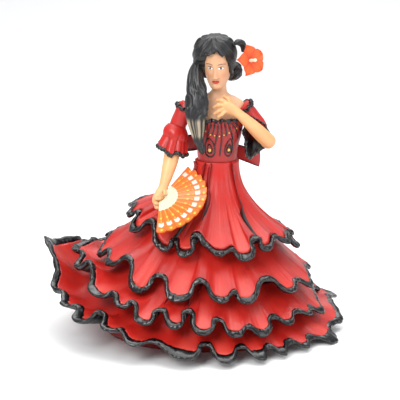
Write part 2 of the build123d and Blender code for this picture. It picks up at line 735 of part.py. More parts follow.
def fan_pieces():
    """Painted leaf and ribbed hub of the fan."""
    hub_radius = FAN_RADIUS * HUB_SHARE
    leaf = pleated_sector(
        hub_radius + GLUE_GAP, FAN_RADIUS, PLEAT_SLOPE, FAN_THICKNESS, flat_rim=0.5
    )
    hub = pleated_sector(FAN_INNER, hub_radius, PLEAT_SLOPE * 0.6, FAN_THICKNESS)
    return leaf, hub


def fan_slot():
    """Slot in the fist that takes the sticks of the fan."""
    slack = PLEAT_SLOPE * FAN_RADIUS * HUB_SHARE + PEG_GAP
    reach = FAN_RADIUS * 0.6
    slab = Box(
        reach, 2 * reach, FAN_THICKNESS + 2 * slack, align=(Align.MIN, Align.CENTER, Align.MIN)
    )
    start = FAN_INNER * 0.25 - PEG_GAP
    return FAN_PLANE * (Rot(0, 0, -31) * Pos(start, 0, -slack) * slab)


# ---- Head and hair ----
HEAD_CENTRE = (0.3, -0.6, 89.6)
HEAD_TURN = (10.0, 0.0, -10.0)
# Levels of the head in its own frame: (height, y, half width, half depth).
SKULL = (
    (-6.9, -3.9, 0.9, 0.8), (-6.3, -3.3, 2.0, 2.2), (-4.6, -1.6, 3.3, 4.2), (-2.4, -0.5, 4.2, 5.4),
    (0.4, 0.0, 4.6, 5.9), (3.2, 0.3, 4.7, 6.0), (5.8, 0.5, 4.2, 5.3), (7.8, 0.6, 2.9, 3.7),
    (8.9, 0.6, 1.0, 1.3),
)


def head_frame():
    """Place and tilt of the head."""
    yaw = Location(Plane(origin=raised(HEAD_CENTRE)))
    return yaw * Rot(Z=HEAD_TURN[2]) * Rot(X=HEAD_TURN[0])


def skull_ring(level, grow=0.0, points=20):
    """Ring of points round the head at one level, in the frame of the head."""
    z, y, half_width, half_depth = level
    ring = []
    for k in range(points):
        turn = math.radians(90 + 360 * k / points)
        across = (half_width + grow) * math.cos(turn)
        ring.append(Vector(across, y + (half_depth + grow) * math.sin(turn), z))
    return ring


def head():
    """Head with a small nose, open below for the neck peg."""
    shape = stacked([skull_ring(level) for level in SKULL])
    nose = Pos(0, -5.9, -1.6) * Rot(X=-14) * Cone(0.85, 0.35, 2.6)
    shape = head_frame() * (shape + nose)
    neck = peg_between(
        (NECK_TOP[0], NECK_TOP[1], NECK_TOP[2] - 3),
        tuple(a + b * 1.05 for a, b in zip(NECK_TOP, NECK_LEAN)), NECK_PEG + PEG_GAP,
    )
    seat = stacked([oval_ring(*level, grow=SKIN_GAP) for level in TRUNK[-3:]])
    return one_solid(shape - neck - seat)


HAIR_DEPTH = 1.9
HAIR_SWEEP = 1.2         # how far the hair is combed over to the right
# Lowest hair level at the back and over the brow, in the frame of the head.
NAPE_LEVEL = -3.4
BROW_LEVEL = 3.6


def hair_cap():
    """Swept-back hair that covers the crown and the back of the head."""
    levels = []
    for z, y, half_width, half_depth in SKULL[2:]:
        full = HAIR_DEPTH * (0.75 + 0.25 * math.sin(math.radians(60 + 12 * z)))
        levels.append((z * 1.04 + 0.75, y + 0.6, half_width + full + 0.9, half_depth + full * 0.9))
    outer = Pos(-HAIR_SWEEP, 0, 0) * stacked([skull_ring(level) for level in levels])
    inner = stacked([skull_ring(level, grow=SKIN_GAP) for level in SKULL])
    face = Pos(0, -8.0, BROW_LEVEL - 7.0) * scale(Sphere(1), by=(4.6, 7.8, 8.0))
    below = Pos(0, 0, NAPE_LEVEL - 10) * Box(40, 40, 20)
    shape = outer - inner - face - below
    return one_solid(head_frame() * shape)


SIDE_LOCK = (
    (-6.6, -1.8, 91.0, 1.2, 1.2), (-7.2, -3.4, 88.2, 2.4, 1.8), (-7.3, -5.2, 84.8, 2.9, 2.0), (-6.9, -6.9, 81.0, 3.4, 2.1),
    (-6.9, -7.9, 77.2, 3.7, 2.1), (-7.2, -8.6, 73.6, 3.2, 1.9), (-6.9, -8.8, 69.8, 2.4, 1.6),
    (-6.2, -8.7, 66.2, 1.5, 1.2), (-5.2, -8.4, 63.0, 1.1, 0.9), (-4.8, -8.2, 61.4, 0.5, 0.4),
)
NAPE_HAIR = (
    (4.6, 2.2, 90.0, 1.2, 1.2), (5.8, 2.0, 88.6, 2.3, 2.3), (6.2, 1.8, 86.8, 2.2, 2.4),
    (5.0, 2.2, 85.4, 1.4, 1.6), (3.6, 2.8, 84.8, 0.6, 0.7),
)
CROWN_CURL = (
    (5.4, -2.8, 97.0, 0.5, 0.5), (6.6, -2.6, 97.6, 1.1, 1.1), (7.9, -2.0, 97.2, 1.2, 1.2),
    (8.6, -1.4, 95.6, 1.1, 1.1), (8.3, -1.2, 94.2, 0.5, 0.5),
)

# ---- Flower ----
FLOWER_MIDDLE = (10.6, -4.0, 91.8)
FLOWER_FACE = Vector(0.55, -0.80, 0.18)
FLOWER_RADIUS = 5.3
PETALS = 5
PETAL_THICKNESS = 1.1


def flower():
    """Five joined petals and the cream stamen in their middle."""
    place = Plane(origin=raised(FLOWER_MIDDLE), x_dir=(0.80, 0.56, 0), z_dir=FLOWER_FACE)
    outline = []
    for k in range(8 * PETALS):
        turn = 2 * math.pi * k / (8 * PETALS)
        notch = abs(math.cos(PETALS * turn / 2))
        length = FLOWER_RADIUS * (1 - 0.38 * (1 - notch) ** 1.6)
        outline.append(Vector(length * math.cos(turn), length * math.sin(turn), 0))
    petals = extrude(Face(Wire([Edge.make_spline(outline, periodic=True)])), PETAL_THICKNESS)
    petals = chamfer(petals.faces().sort_by(Axis.Z)[-1].edges(), 0.35)
    stamen = Pos(0, 0, PETAL_THICKNESS + GLUE_GAP) * Cylinder(
        0.55, 2.2, align=(Align.CENTER, Align.CENTER, Align.MIN)
    )
    stem = Pos(0, 0, -1.0) * Cylinder(0.8, 1.2, align=(Align.CENTER, Align.CENTER, Align.MIN))
    return one_solid(place * (petals + stem)), one_solid(place * stamen)


# ---- Back bow ----
BOW_LOOPS = {
    "right": ((-1.6, 7.9, 60.4), (-5.5, 7.2, 62.3), (-10.2, 7.4, 62.6), (-12.2, 8.6, 61.4),
              (-9.6, 10.6, 61.2), (-5.2, 10.2, 61.2), (-1.7, 9.2, 60.4)),
    "left": ((1.8, 7.9, 60.2), (6.2, 7.3, 59.4), (12.0, 6.2, 57.2), (15.0, 7.4, 56.0),
             (12.4, 9.8, 56.6), (6.4, 10.2, 58.8), (2.0, 9.2, 60.2)),
}
BOW_HALF_HEIGHT = 2.6
BOW_HALF_WALL = 0.45


def bow_loop(side):
    """Loop of ribbon beside the knot."""
    points = [tuple(raised(point)) for point in BOW_LOOPS[side]]
    count = len(points) * 3
    middles = [Vector(*spline_value(points, k / 3, closed=True)) for k in range(count)]
    downs, outs = [], []
    for k in range(count):
        along = unit(middles[(k + 1) % count] - middles[k - 1])
        down = Vector(0, 0, -1)
        outs.append(unit(along.cross(down)))
        downs.append(down)
    return border_ring(middles, downs, outs, BOW_HALF_HEIGHT, BOW_HALF_WALL, points=10)


def bow_knot():
    """Wrapped knot of the bow with the peg that enters the back of the bodice."""
    knot = Pos(*raised((0.1, 8.5, 60.3))) * scale(Sphere(1), by=(1.6, 1.7, 2.3))
    return knot


def skirt_core():
    """Hollow bell under the flounces, with the socket for the body."""
    outer = stacked(core_rings(), ruled=True)
    hollow = stacked(core_rings(inset=CORE_WALL, bottom=-1.0)[:-1], ruled=True)
    socket = Pos(0, 0, WAIST_HEIGHT - 8.0) * Cylinder(
        WAIST_PEG + PEG_GAP, 12.0, align=(Align.CENTER, Align.CENTER, Align.MIN)
    )
    return one_solid(outer - hollow - socket)


PLATE_MARGIN = 2.1       # room between the core wall and the closing plate


def base_plate():
    """Flat oval plate that closes the skirt and carries the figurine."""
    inset = CORE_WALL + PLATE_MARGIN
    width = CORE_FOOT_WIDTH * SKIRT_SPREAD - inset
    depth = CORE_FOOT_DEPTH * SKIRT_SPREAD - inset
    plate = extrude(Ellipse(width, depth), BASE_THICKNESS)
    rim = extrude(Ellipse(width - 2, depth - 2), BASE_THICKNESS + 1.5)
    rim = rim - extrude(Ellipse(width - 4, depth - 4), BASE_THICKNESS + 1.5)
    return Pos(CORE_FOOT_MIDDLE, 0, 0) * (plate + rim)


# Where two glued pieces would share room, the first is cut back to the second.
CUT_BACK = (
    ("right_sleeve_ruffle", ("right_forearm",)),
    ("left_sleeve_ruffle", ("left_forearm", "bodice")),
    ("right_sleeve_border", ("right_forearm",)),
    ("left_sleeve_border", ("left_forearm", "bodice")),
    ("right_sleeve", ("torso", "right_forearm", "right_sleeve_ruffle", "bodice")),
    ("left_sleeve", ("torso", "left_forearm", "left_sleeve_ruffle", "bodice")),
    ("right_shoulder_frill", ("torso", "right_sleeve")),
    ("left_shoulder_frill", ("torso", "left_sleeve")),
    ("neckline_ruffle", ("left_forearm", "right_sleeve", "left_sleeve", "left_sleeve_border")),
    ("side_lock", ("hair_cap", "head", "bodice", "neckline_ruffle", "torso", "right_sleeve")),
    ("nape_hair", ("hair_cap", "head")),
    ("crown_curl", ("hair_cap",)),
    ("bow_knot", ("bodice", "right_bow_loop", "left_bow_loop")),
)


def main():
    """Build every piece and write it to its own file."""
    os.makedirs("parts", exist_ok=True)
    parts = {"skirt_core": skirt_core(), "base_plate": base_plate()}
    parts["overskirt"], parts["overskirt_border"] = flounce(OVERSKIRT, waist_point, BELL_POWER)
    for name, tier, upper in (
        ("second_flounce", SECOND, OVERSKIRT),
        ("third_flounce", THIRD, SECOND),
        ("hem_flounce", HEM, THIRD),
    ):
        parts[name], parts[name + "_border"] = flounce(
            tier, lambda degrees, upper=upper: seat_point(upper, degrees), 1.05
        )
    parts["torso"] = torso()
    parts["bodice"] = bodice()
    parts["bodice_piping"] = bodice_piping()
    parts["bodice_studs"] = bodice_studs()
    parts["neckline_ruffle"] = gathered_ring(72.3, 0.85, 0.55, 0.6, 14, 0.12)
    for side in ("right", "left"):
        parts[side + "_sleeve_ruffle"], parts[side + "_sleeve_border"] = sleeve_flare(side)
        parts[side + "_sleeve"] = limb(SLEEVES[side])
        parts[side + "_shoulder_frill"] = shoulder_frill(side)
        parts[side + "_bow_loop"] = bow_loop(side)
    parts["bow_knot"] = bow_knot()
    right_arm = arm(RIGHT_FOREARM, RIGHT_FINGERS, (-14.0, 0.0, 65.0), (-13.4, 0.5, 68.4))
    parts["right_forearm"] = one_solid(right_arm - fan_slot())
    parts["left_forearm"] = arm(
        LEFT_FOREARM, LEFT_FINGERS, (14.8, -0.2, 67.0), (13.0, 1.7, 70.2)
    )
    parts["fan_leaf"], parts["fan_sticks"] = fan_pieces()
    parts["head"] = head()
    parts["hair_cap"] = hair_cap()
    parts["side_lock"] = limb(SIDE_LOCK, side_hint=(0.1, 1.0, 0.2), points=14)
    parts["nape_hair"] = limb(NAPE_HAIR)
    parts["crown_curl"] = limb(CROWN_CURL)
    parts["flower_petals"], parts["flower_stamen"] = flower()
    for name, cutters in CUT_BACK:
        for cutter in cutters:
            parts[name] = kept(parts[name] - parts[cutter])
    for name, solid in parts.items():
        export_step(solid, f"parts/{name}.step")


main()
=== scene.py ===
import math

import bpy
import numpy as np
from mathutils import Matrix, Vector


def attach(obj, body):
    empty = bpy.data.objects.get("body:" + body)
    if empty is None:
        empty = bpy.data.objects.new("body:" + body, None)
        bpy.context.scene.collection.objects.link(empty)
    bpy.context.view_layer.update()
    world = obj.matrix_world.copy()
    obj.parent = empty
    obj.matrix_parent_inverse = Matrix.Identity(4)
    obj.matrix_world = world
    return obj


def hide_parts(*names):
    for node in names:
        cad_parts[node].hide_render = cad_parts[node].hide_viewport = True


# Looks of a hand-painted dancer figurine. Shapes are worked out in millimetres and put in
# as metres; +Z is up and the dancer faces -Y.
MM = 0.001

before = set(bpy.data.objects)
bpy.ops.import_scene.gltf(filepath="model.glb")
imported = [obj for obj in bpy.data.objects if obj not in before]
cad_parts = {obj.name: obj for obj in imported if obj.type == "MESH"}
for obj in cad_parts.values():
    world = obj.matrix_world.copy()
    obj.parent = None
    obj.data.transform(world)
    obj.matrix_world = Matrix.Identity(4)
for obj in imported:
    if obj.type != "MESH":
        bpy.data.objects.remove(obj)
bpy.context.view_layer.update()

# ---- Paint colours (linear) ----
RED = (0.50, 0.013, 0.008)
RED_PAINTED_SHADE = (0.26, 0.004, 0.004)
RED_PAINTED_HIGHLIGHT = (0.72, 0.075, 0.05)
BODICE_RED = (0.36, 0.016, 0.014)
BLACK = (0.003, 0.003, 0.004)
SKIN = (0.80, 0.43, 0.19)
SKIN_SHADE = (0.60, 0.28, 0.12)
FACE_SKIN = (0.66, 0.36, 0.20)
HAIR = (0.005, 0.005, 0.006)
HAIR_PAINTED_HIGHLIGHT = (0.11, 0.11, 0.12)
HAIR_WORN = (0.62, 0.50, 0.34)
FLOWER_ORANGE = (0.88, 0.12, 0.02)
FLOWER_DEEP = (0.62, 0.06, 0.02)
CREAM = (0.85, 0.74, 0.52)
FAN_ORANGE = (0.86, 0.17, 0.015)
FAN_LIGHT = (0.95, 0.42, 0.10)
GOLD = (0.98, 0.55, 0.07)
FAN_WHITE = (0.88, 0.74, 0.66)
LIP_RED = (0.50, 0.045, 0.03)
EYE_WHITE = (0.80, 0.76, 0.72)
EYE_BROWN = (0.07, 0.03, 0.02)


# ---- Small helpers ----
def unit(vectors):
    """Each vector divided by its own length."""
    return vectors / np.maximum(np.linalg.norm(vectors, axis=-1, keepdims=True), 1e-9)


def smooth(values, low, high):
    """Soft step: 0 below low, 1 above high, and 3t^2 - 2t^3 between, t being the share."""
    t = np.clip((values - low) / (high - low), 0, 1)
    return t * t * (3 - 2 * t)


def mix(a, b, share):
    """Colour a where share is 0 and colour b where it is 1, straight between."""
    share = np.asarray(share)[..., None]
    return np.asarray(a) * (1 - share) + np.asarray(b) * share


def curve(knots, count, closed=False):
    """Smooth line through knots: cubic Hermite pieces whose slope at a knot is half the
    step between its two neighbours, read at count even places."""
    knots = np.asarray(knots, float)
    total = len(knots)
    spots = np.arange(count) * (total / count if closed else (total - 1) / (count - 1))
    index = np.floor(spots).astype(int)
    if not closed:
        index = np.minimum(index, total - 2)
    t = (spots - index)[:, None]

    def pick(k):
        return knots[k % total] if closed else knots[np.clip(k, 0, total - 1)]

    before, here, after, beyond = (pick(index + k) for k in (-1, 0, 1, 2))
    rise, fall = (after - before) / 2, (beyond - here) / 2
    line = here + (after - here) * t * t * (3 - 2 * t)
    return line + rise * t * (1 - t) ** 2 + fall * t * t * (t - 1)


def ripple(values, seed, waves=6, lowest=1.0):
    """Gentle repeatable unevenness along a line: a sum of sines with growing frequency."""
    rng = np.random.default_rng(seed)
    total = np.zeros_like(values, dtype=float)
    for k in range(waves):
        pitch = lowest * (1.55 ** k) * rng.uniform(0.9, 1.1)
        total += np.sin(values * pitch + rng.uniform(0, 6.28)) / (1 + 0.5 * k)
    return total / 2.2


def grid_mesh(name, grid, material, slot, nodes, wrap=False, close=False, colour=None,
              smooth_shade=True):
    """Piece from a grid of points (rows, columns, 3) in mm: quads between neighbours;
    wrap joins the last column to the first, close joins the last row to the first."""
    grid = np.asarray(grid, float)
    quads = patch(*grid.shape[:2], 0, wrap, close)
    return raw_mesh(name, grid.reshape(-1, 3), quads, material, slot, nodes,
                    None if colour is None else colour.reshape(-1, 3), smooth_shade)


def patch(rows, columns, first, wrap=False, close=False):
    """Four-cornered faces between the neighbours of a grid whose points are numbered on
    from first; wrap joins the last column to the first, close the last row to the first."""
    numbers = first + np.arange(rows * columns).reshape(rows, columns)
    if close:
        numbers = np.concatenate([numbers, numbers[:1]])
    if wrap:
        numbers = np.concatenate([numbers, numbers[:, :1]], axis=1)
    corners = [numbers[:-1, :-1], numbers[:-1, 1:], numbers[1:, 1:], numbers[1:, :-1]]
    return np.stack(corners, axis=-1).reshape(-1, 4)


def joined(grids, wrap=False, close=False):
    """Points and faces of several grids put into one piece."""
    points, quads, first = [], [], 0
    for grid in grids:
        quads.append(patch(*grid.shape[:2], first, wrap, close))
        points.append(grid.reshape(-1, 3))
        first += len(points[-1])
    return np.concatenate(points), np.concatenate(quads)


def raw_mesh(name, points, quads, material, slot, nodes, colour=None, smooth_shade=True):
    """Piece from points in mm and four-cornered faces, with paint kept on its vertices."""
    mesh = bpy.data.meshes.new(name)
    mesh.vertices.add(len(points))
    mesh.vertices.foreach_set("co", (np.asarray(points) * MM).astype(np.float32).ravel())
    mesh.loops.add(quads.size)
    mesh.loops.foreach_set("vertex_index", quads.astype(np.int32).ravel())
    mesh.polygons.add(len(quads))
    mesh.polygons.foreach_set("loop_start", np.arange(0, quads.size, 4, dtype=np.int32))
    mesh.update(calc_edges=True)
    mesh.validate()
    if colour is not None:
        layer = mesh.color_attributes.new("paint", "FLOAT_COLOR", "POINT")
        rgba = np.ones((len(mesh.vertices), 4), np.float32)
        rgba[:, :3] = np.asarray(colour)[: len(mesh.vertices)]
        layer.data.foreach_set("color", rgba.ravel())
    mesh.polygons.foreach_set("use_smooth", np.full(len(mesh.polygons), smooth_shade))
    piece = bpy.data.objects.new(name, mesh)
    bpy.context.scene.collection.objects.link(piece)
    piece.data.materials.append(material)
    outward(piece)
    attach(piece, "root")
    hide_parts(*nodes)
    return piece


def outward(piece):
    """Joins doubled points and turns every face outwards."""
    bpy.ops.object.select_all(action="DESELECT")
    piece.select_set(True)
    bpy.context.view_layer.objects.active = piece
    bpy.ops.object.mode_set(mode="EDIT")
    bpy.ops.mesh.select_all(action="SELECT")
    bpy.ops.mesh.remove_doubles(threshold=0.000002)
    bpy.ops.mesh.normals_make_consistent(inside=False)
    bpy.ops.object.mode_set(mode="OBJECT")


def frames(centres, hint, closed=False):
    """Two directions across a line of centres: cross products of its run with the hint."""
    if closed:
        run = unit(np.roll(centres, -1, 0) - np.roll(centres, 1, 0))
    else:
        run = unit(np.gradient(centres, axis=0))
    across = unit(np.cross(run, np.broadcast_to(hint, run.shape)))
    return run, across, np.cross(across, run)


def tube(stations, hint=(0, 1, 0), rings=80, points=40, groove=None):
    """Tapering limb: an oval (half width cos, half thickness sin) carried along a smooth
    line; rounded off at both ends; groove adds an offset to the oval."""
    line = curve(stations, rings)
    centres, wide, thick = line[:, :3], line[:, 3], line[:, 4]
    _, across, through = frames(centres, np.asarray(hint, float))
    share = np.linspace(0, 1, rings)
    cap = np.sqrt(np.clip(1 - (1 - np.minimum(share, 1 - share) / 0.035) ** 2, 0, 1))
    cap = np.where(np.minimum(share, 1 - share) < 0.035, cap, 1.0)
    turn = np.linspace(0, 2 * np.pi, points, endpoint=False)
    swell = 1.0 if groove is None else groove(share[:, None], turn[None, :])
    wide = (wide * cap)[:, None] * swell
    thick = (thick * cap)[:, None] * swell
    return (centres[:, None] + across[:, None] * (wide * np.cos(turn))[..., None]
            + through[:, None] * (thick * np.sin(turn))[..., None])


# ---- Paint materials ----
def paint(name, colour, rough, coat=0.0, mottling=0.10, grain=900.0, bump=0.02, use_paint=True):
    """Brushed paint on plastic: the vertex paint (or one colour) varied by one noise,
    roughness varied by a second, and a fine bump from a third."""
    material = bpy.data.materials.new(name)
    material.use_nodes = True
    tree = material.node_tree
    shader = tree.nodes["Principled BSDF"]
    place = tree.nodes.new("ShaderNodeTexCoord")

    def noise(scale, detail):
        node = tree.nodes.new("ShaderNodeTexNoise")
        node.inputs["Scale"].default_value = scale
        node.inputs["Detail"].default_value = detail
        tree.links.new(place.outputs["Object"], node.inputs["Vector"])
        return node

    if use_paint:
        source = tree.nodes.new("ShaderNodeVertexColor")
        source.layer_name = "paint"
    else:
        source = tree.nodes.new("ShaderNodeRGB")
        source.outputs[0].default_value = (*colour, 1)
    shade = tree.nodes.new("ShaderNodeMapRange")
    shade.inputs["From Min"].default_value = 0.3
    shade.inputs["From Max"].default_value = 0.7
    shade.inputs["To Min"].default_value = 1 - mottling
    shade.inputs["To Max"].default_value = 1 + mottling
    tree.links.new(noise(120.0, 4.0).outputs["Fac"], shade.inputs["Value"])
    varied = tree.nodes.new("ShaderNodeVectorMath")
    varied.operation = "SCALE"
    tree.links.new(source.outputs[0], varied.inputs[0])
    tree.links.new(shade.outputs["Result"], varied.inputs["Scale"])
    tree.links.new(varied.outputs[0], shader.inputs["Base Color"])
    gloss = tree.nodes.new("ShaderNodeMapRange")
    gloss.inputs["From Min"].default_value = 0.3
    gloss.inputs["From Max"].default_value = 0.7
    gloss.inputs["To Min"].default_value = max(rough - 0.06, 0.03)
    gloss.inputs["To Max"].default_value = rough + 0.08
    tree.links.new(noise(300.0, 3.0).outputs["Fac"], gloss.inputs["Value"])
    tree.links.new(gloss.outputs["Result"], shader.inputs["Roughness"])
    shader.inputs["Coat Weight"].default_value = coat
    shader.inputs["Coat Roughness"].default_value = 0.12
    dent = tree.nodes.new("ShaderNodeBump")
    dent.inputs["Strength"].default_value = bump
    dent.inputs["Distance"].default_value = 0.0004
    tree.links.new(noise(grain, 5.0).outputs["Fac"], dent.inputs["Height"])
    tree.links.new(dent.outputs["Normal"], shader.inputs["Normal"])
    return material


SATIN_RED = paint("satin_red", RED, 0.42, coat=0.10, bump=0.10)
GLOSS_BLACK = paint("gloss_black", BLACK, 0.27, coat=0.25, bump=0.22, use_paint=False)
SKIN_PAINT = paint("skin", SKIN, 0.46, coat=0.05, mottling=0.04, bump=0.03)
HAIR_PAINT = paint("hair", HAIR, 0.42, coat=0.08, mottling=0.25, bump=0.25)
MATT_PAINT = paint("matt", FLOWER_ORANGE, 0.55, mottling=0.08, bump=0.1)
FAN_PAINT = paint("fan", FAN_ORANGE, 0.42, coat=0.1, mottling=0.05, bump=0.04)
GOLD_PAINT = paint("gold", (0.85, 0.50, 0.12), 0.30, coat=0.3, use_paint=False)
BASE_PLASTIC = paint("base", (0.30, 0.02, 0.02), 0.55, mottling=0.05, use_paint=False)

# ---- Skirt ----
# Folds of each hem: (direction in degrees, lean, height of the border's middle).
OVERSKIRT_FOLDS = (
    (180, -0.6, 42.5), (190, 0.6, 40.5), (198, -0.8, 42.0), (207, 1.0, 37.5), (220, -0.7, 41.0),
    (236, 1.0, 34.0), (242, -0.6, 36.3), (252, 1.0, 33.0), (258, -1.0, 38.5), (265, -0.4, 35.6),
    (275, 0.7, 33.2), (284, -0.1, 34.0), (292, 1.0, 31.5), (303, -1.0, 36.2), (309, 0.7, 33.3),
    (322, -0.7, 35.5), (332, 0.5, 33.5), (341, -0.5, 34.5), (351, 1.0, 30.0),
)
SECOND_FOLDS = (
    (186, 0.7, 26.8), (196, -0.7, 29.2), (209, 0.7, 27.0), (221, -0.8, 29.8), (232, 1.0, 21.3),
    (243, -0.9, 26.2), (255, 1.0, 20.2), (266, -0.8, 25.4), (276, 0.8, 20.0), (284, -0.3, 21.8),
    (290, 0.9, 19.3), (304, -0.9, 24.6), (317, 0.8, 19.8), (328, -0.5, 21.5), (340, 0.7, 18.4),
    (350, -0.4, 19.8),
)
THIRD_FOLDS = (
    (177, 0.7, 26.5), (186, -0.6, 26.8), (196, 0.6, 24.0), (205, -0.7, 26.6), (219, 1.0, 19.4),
    (226, -0.3, 20.2), (233, 0.7, 17.3), (238, -0.5, 18.3), (245, 1.0, 13.5), (251, -0.8, 17.0),
    (259, 0.8, 13.2), (264, -1.0, 17.0), (271, 1.0, 11.5), (278, -0.7, 14.3), (285, 0.9, 10.3),
    (292, -0.2, 11.4), (299, 0.8, 9.4), (306, -0.8, 12.8), (313, 0.6, 10.8), (321, -0.5, 12.6),
    (329, 0.5, 11.2), (335, -0.4, 11.6), (343, 0.8, 9.4), (351, -0.3, 10.6),
)
HEM_FOLDS = (
    (180, 0.6, 28.5), (189, -0.6, 22.5), (197, 0.4, 17.3), (204, -0.4, 16.6), (212, 0.6, 14.5),
    (218, -0.2, 14.6), (224, 1.0, 11.6), (230, -0.8, 14.4), (237, 0.8, 10.8), (241, 0.0, 10.6),
    (247, 0.7, 7.6), (254, -0.3, 7.9), (261, 0.5, 6.4), (268, 1.0, 5.0), (274, -0.7, 7.2),
    (281, 1.0, 3.8), (288, -0.5, 5.9), (294, 0.8, 3.7), (300, -0.4, 4.6), (305, 0.6, 3.3),
    (311, -0.8, 4.4), (317, 0.5, 3.0), (324, -0.6, 3.8), (333, 1.0, 2.6), (343, -0.3, 3.6),
    (352, 0.6, 4.6),
)
OVERSKIRT = dict(middle=-1.7, width=27.3, depth=25.0, lean=1.7, level=(36.1, -5.2, 2.2, 0.3),
                 sag=0.0, folds=OVERSKIRT_FOLDS, back=(0, 170, 14, 1.0), border=1.15)
SECOND = dict(middle=-3.2, width=35.4, depth=32.5, lean=1.9, level=(24.0, -5.5, 2.0, 0.2),
              sag=1.0, folds=SECOND_FOLDS, back=(0, 176, 15, 1.3), border=1.2)
THIRD = dict(middle=-5.5, width=40.8, depth=38.0, lean=2.1, level=(16.6, -7.7, 2.0, 1.6),
             sag=4.6, folds=THIRD_FOLDS, back=(0, 168, 15, 1.2), border=1.2)
HEM = dict(middle=-7.3, width=47.8, depth=40.7, lean=2.1, level=(12.4, -9.5, 1.8, 5.1),
           sag=6.5, folds=HEM_FOLDS, back=(0, 171, 16, 0.9), border=1.45)
SEAT_INSET = 8.4
SEAT_RISE = 1.2
SEAT_LEFT_DROP = {27.3: 0.0, 35.4: 1.0, 40.8: 5.2}
SEAT_RIGHT_DROP = {27.3: 0.0, 35.4: 0.0, 40.8: 2.2}
WAIST = 58.0
WAIST_WIDTH = 7.4
WAIST_DEPTH = 6.4
WALL = 1.2


def level_line(tier, degrees):
    """Mean height of a hem: a constant, a cosine, a sine and a double-angle cosine."""
    mean, sideways, backward, oval = tier["level"]
    turn = np.radians(degrees)
    return mean + sideways * np.cos(turn) + backward * np.sin(turn) + oval * np.cos(2 * turn)


def hem_line(tier, count):
    """Direction, lean and height round a hem; folds widen at the crest like the letter
    omega because the direction is shifted by minus lean times the slope of the lean."""
    first, last, ruffles, swing = tier["back"]
    k = np.arange(ruffles)
    degrees = first + (last - first) * (k + 0.5) / ruffles
    side = np.where(k % 2, 1, -1)
    size = 0.75 + 0.25 * np.sin(2.3 * k + 0.8)
    back = np.stack([degrees, side * size, level_line(tier, degrees) - side * swing * size], 1)
    knots = np.concatenate([back, np.array(tier["folds"], float)])
    ahead = knots + (360, 0, 0)
    behind = knots - (360, 0, 0)
    line = curve(np.concatenate([behind[-3:], knots, ahead[:4]]), (len(knots) + 6) * 400 + 1)
    line = line[3 * 400: (3 + len(knots)) * 400]
    spots = (np.arange(count) * len(line) // count)
    slope = np.gradient(line[:, 1], 1 / 400)
    radius = (tier["width"] + tier["depth"]) / 2
    shift = -np.degrees(0.62 / radius) * line[:, 1] * slope
    line = line[spots] + np.stack([shift[spots], 0 * spots, 0 * spots], 1)
    fine = 0.10 * ripple(np.radians(line[:, 0]), 7 + len(knots), 5, 31)
    line[:, 1] = np.clip(line[:, 1] + fine, -1.15, 1.06)
    return line


def oval(tier, degrees, lean):
    """Point on the hem's oval, moved outwards by the lean."""
    turn = np.radians(degrees)
    x = tier["middle"] + (tier["width"] + tier["lean"] * lean) * np.cos(turn)
    return x, (tier["depth"] + tier["lean"] * lean) * np.sin(turn)


def waist_seat(degrees):
    """Upper edge of the overskirt, on the waist oval."""
    turn = np.radians(degrees)
    return np.stack([WAIST_WIDTH * np.cos(turn), WAIST_DEPTH * np.sin(turn),
                     np.full_like(turn, WAIST)], -1)


def under_seat(upper):
    """Upper edge of a flounce: the oval of the hem above, drawn in and raised."""
    def seat(degrees):
        turn = np.radians(degrees)
        left, right = np.maximum(0, -np.cos(turn)), np.maximum(0, np.cos(turn))
        x = upper["middle"] + (upper["width"] - SEAT_INSET) * np.cos(turn)
        y = (upper["depth"] - SEAT_INSET) * np.sin(turn)
        z = level_line(upper, degrees) + SEAT_RISE - left * SEAT_LEFT_DROP[upper["width"]]
        z = z - right * SEAT_RIGHT_DROP[upper["width"]]
        return np.stack([x, y, z], -1)
    return seat


def flounce_grid(tier, seat, power, columns, rows):
    """Flounce surface: from the glued edge to the calm hem oval, radius going with the
    share to a power, plus the folds growing with the share to the power 1.7."""
    line = hem_line(tier, columns)
    degrees, lean, height = line.T
    start = seat(degrees)
    calm_x, calm_y = oval(tier, degrees, 0.0)
    full_x, full_y = oval(tier, degrees, lean)
    calm_z = level_line(tier, degrees)
    share = np.linspace(0, 1, rows)[:, None]
    wave = share ** 1.7
    across = share ** power
    left = 0.5 - 0.5 * np.cos(np.radians(degrees))
    x = start[:, 0] + (calm_x - start[:, 0]) * across + (full_x - calm_x) * wave
    y = start[:, 1] + (calm_y - start[:, 1]) * across + (full_y - calm_y) * wave
    z = start[:, 2] + (calm_z - start[:, 2]) * share + (height - calm_z) * wave
    z = z - tier["sag"] * left ** 2 * np.sin(np.pi * share)
    return np.stack([x, y, z], -1), line


def grid_normals(grid):
    """Outward directions of a ring-shaped grid: run down the grid crossed with round it."""
    around = np.roll(grid, -1, 1) - np.roll(grid, 1, 1)
    down = np.gradient(grid, axis=0)
    return unit(np.cross(down, around))


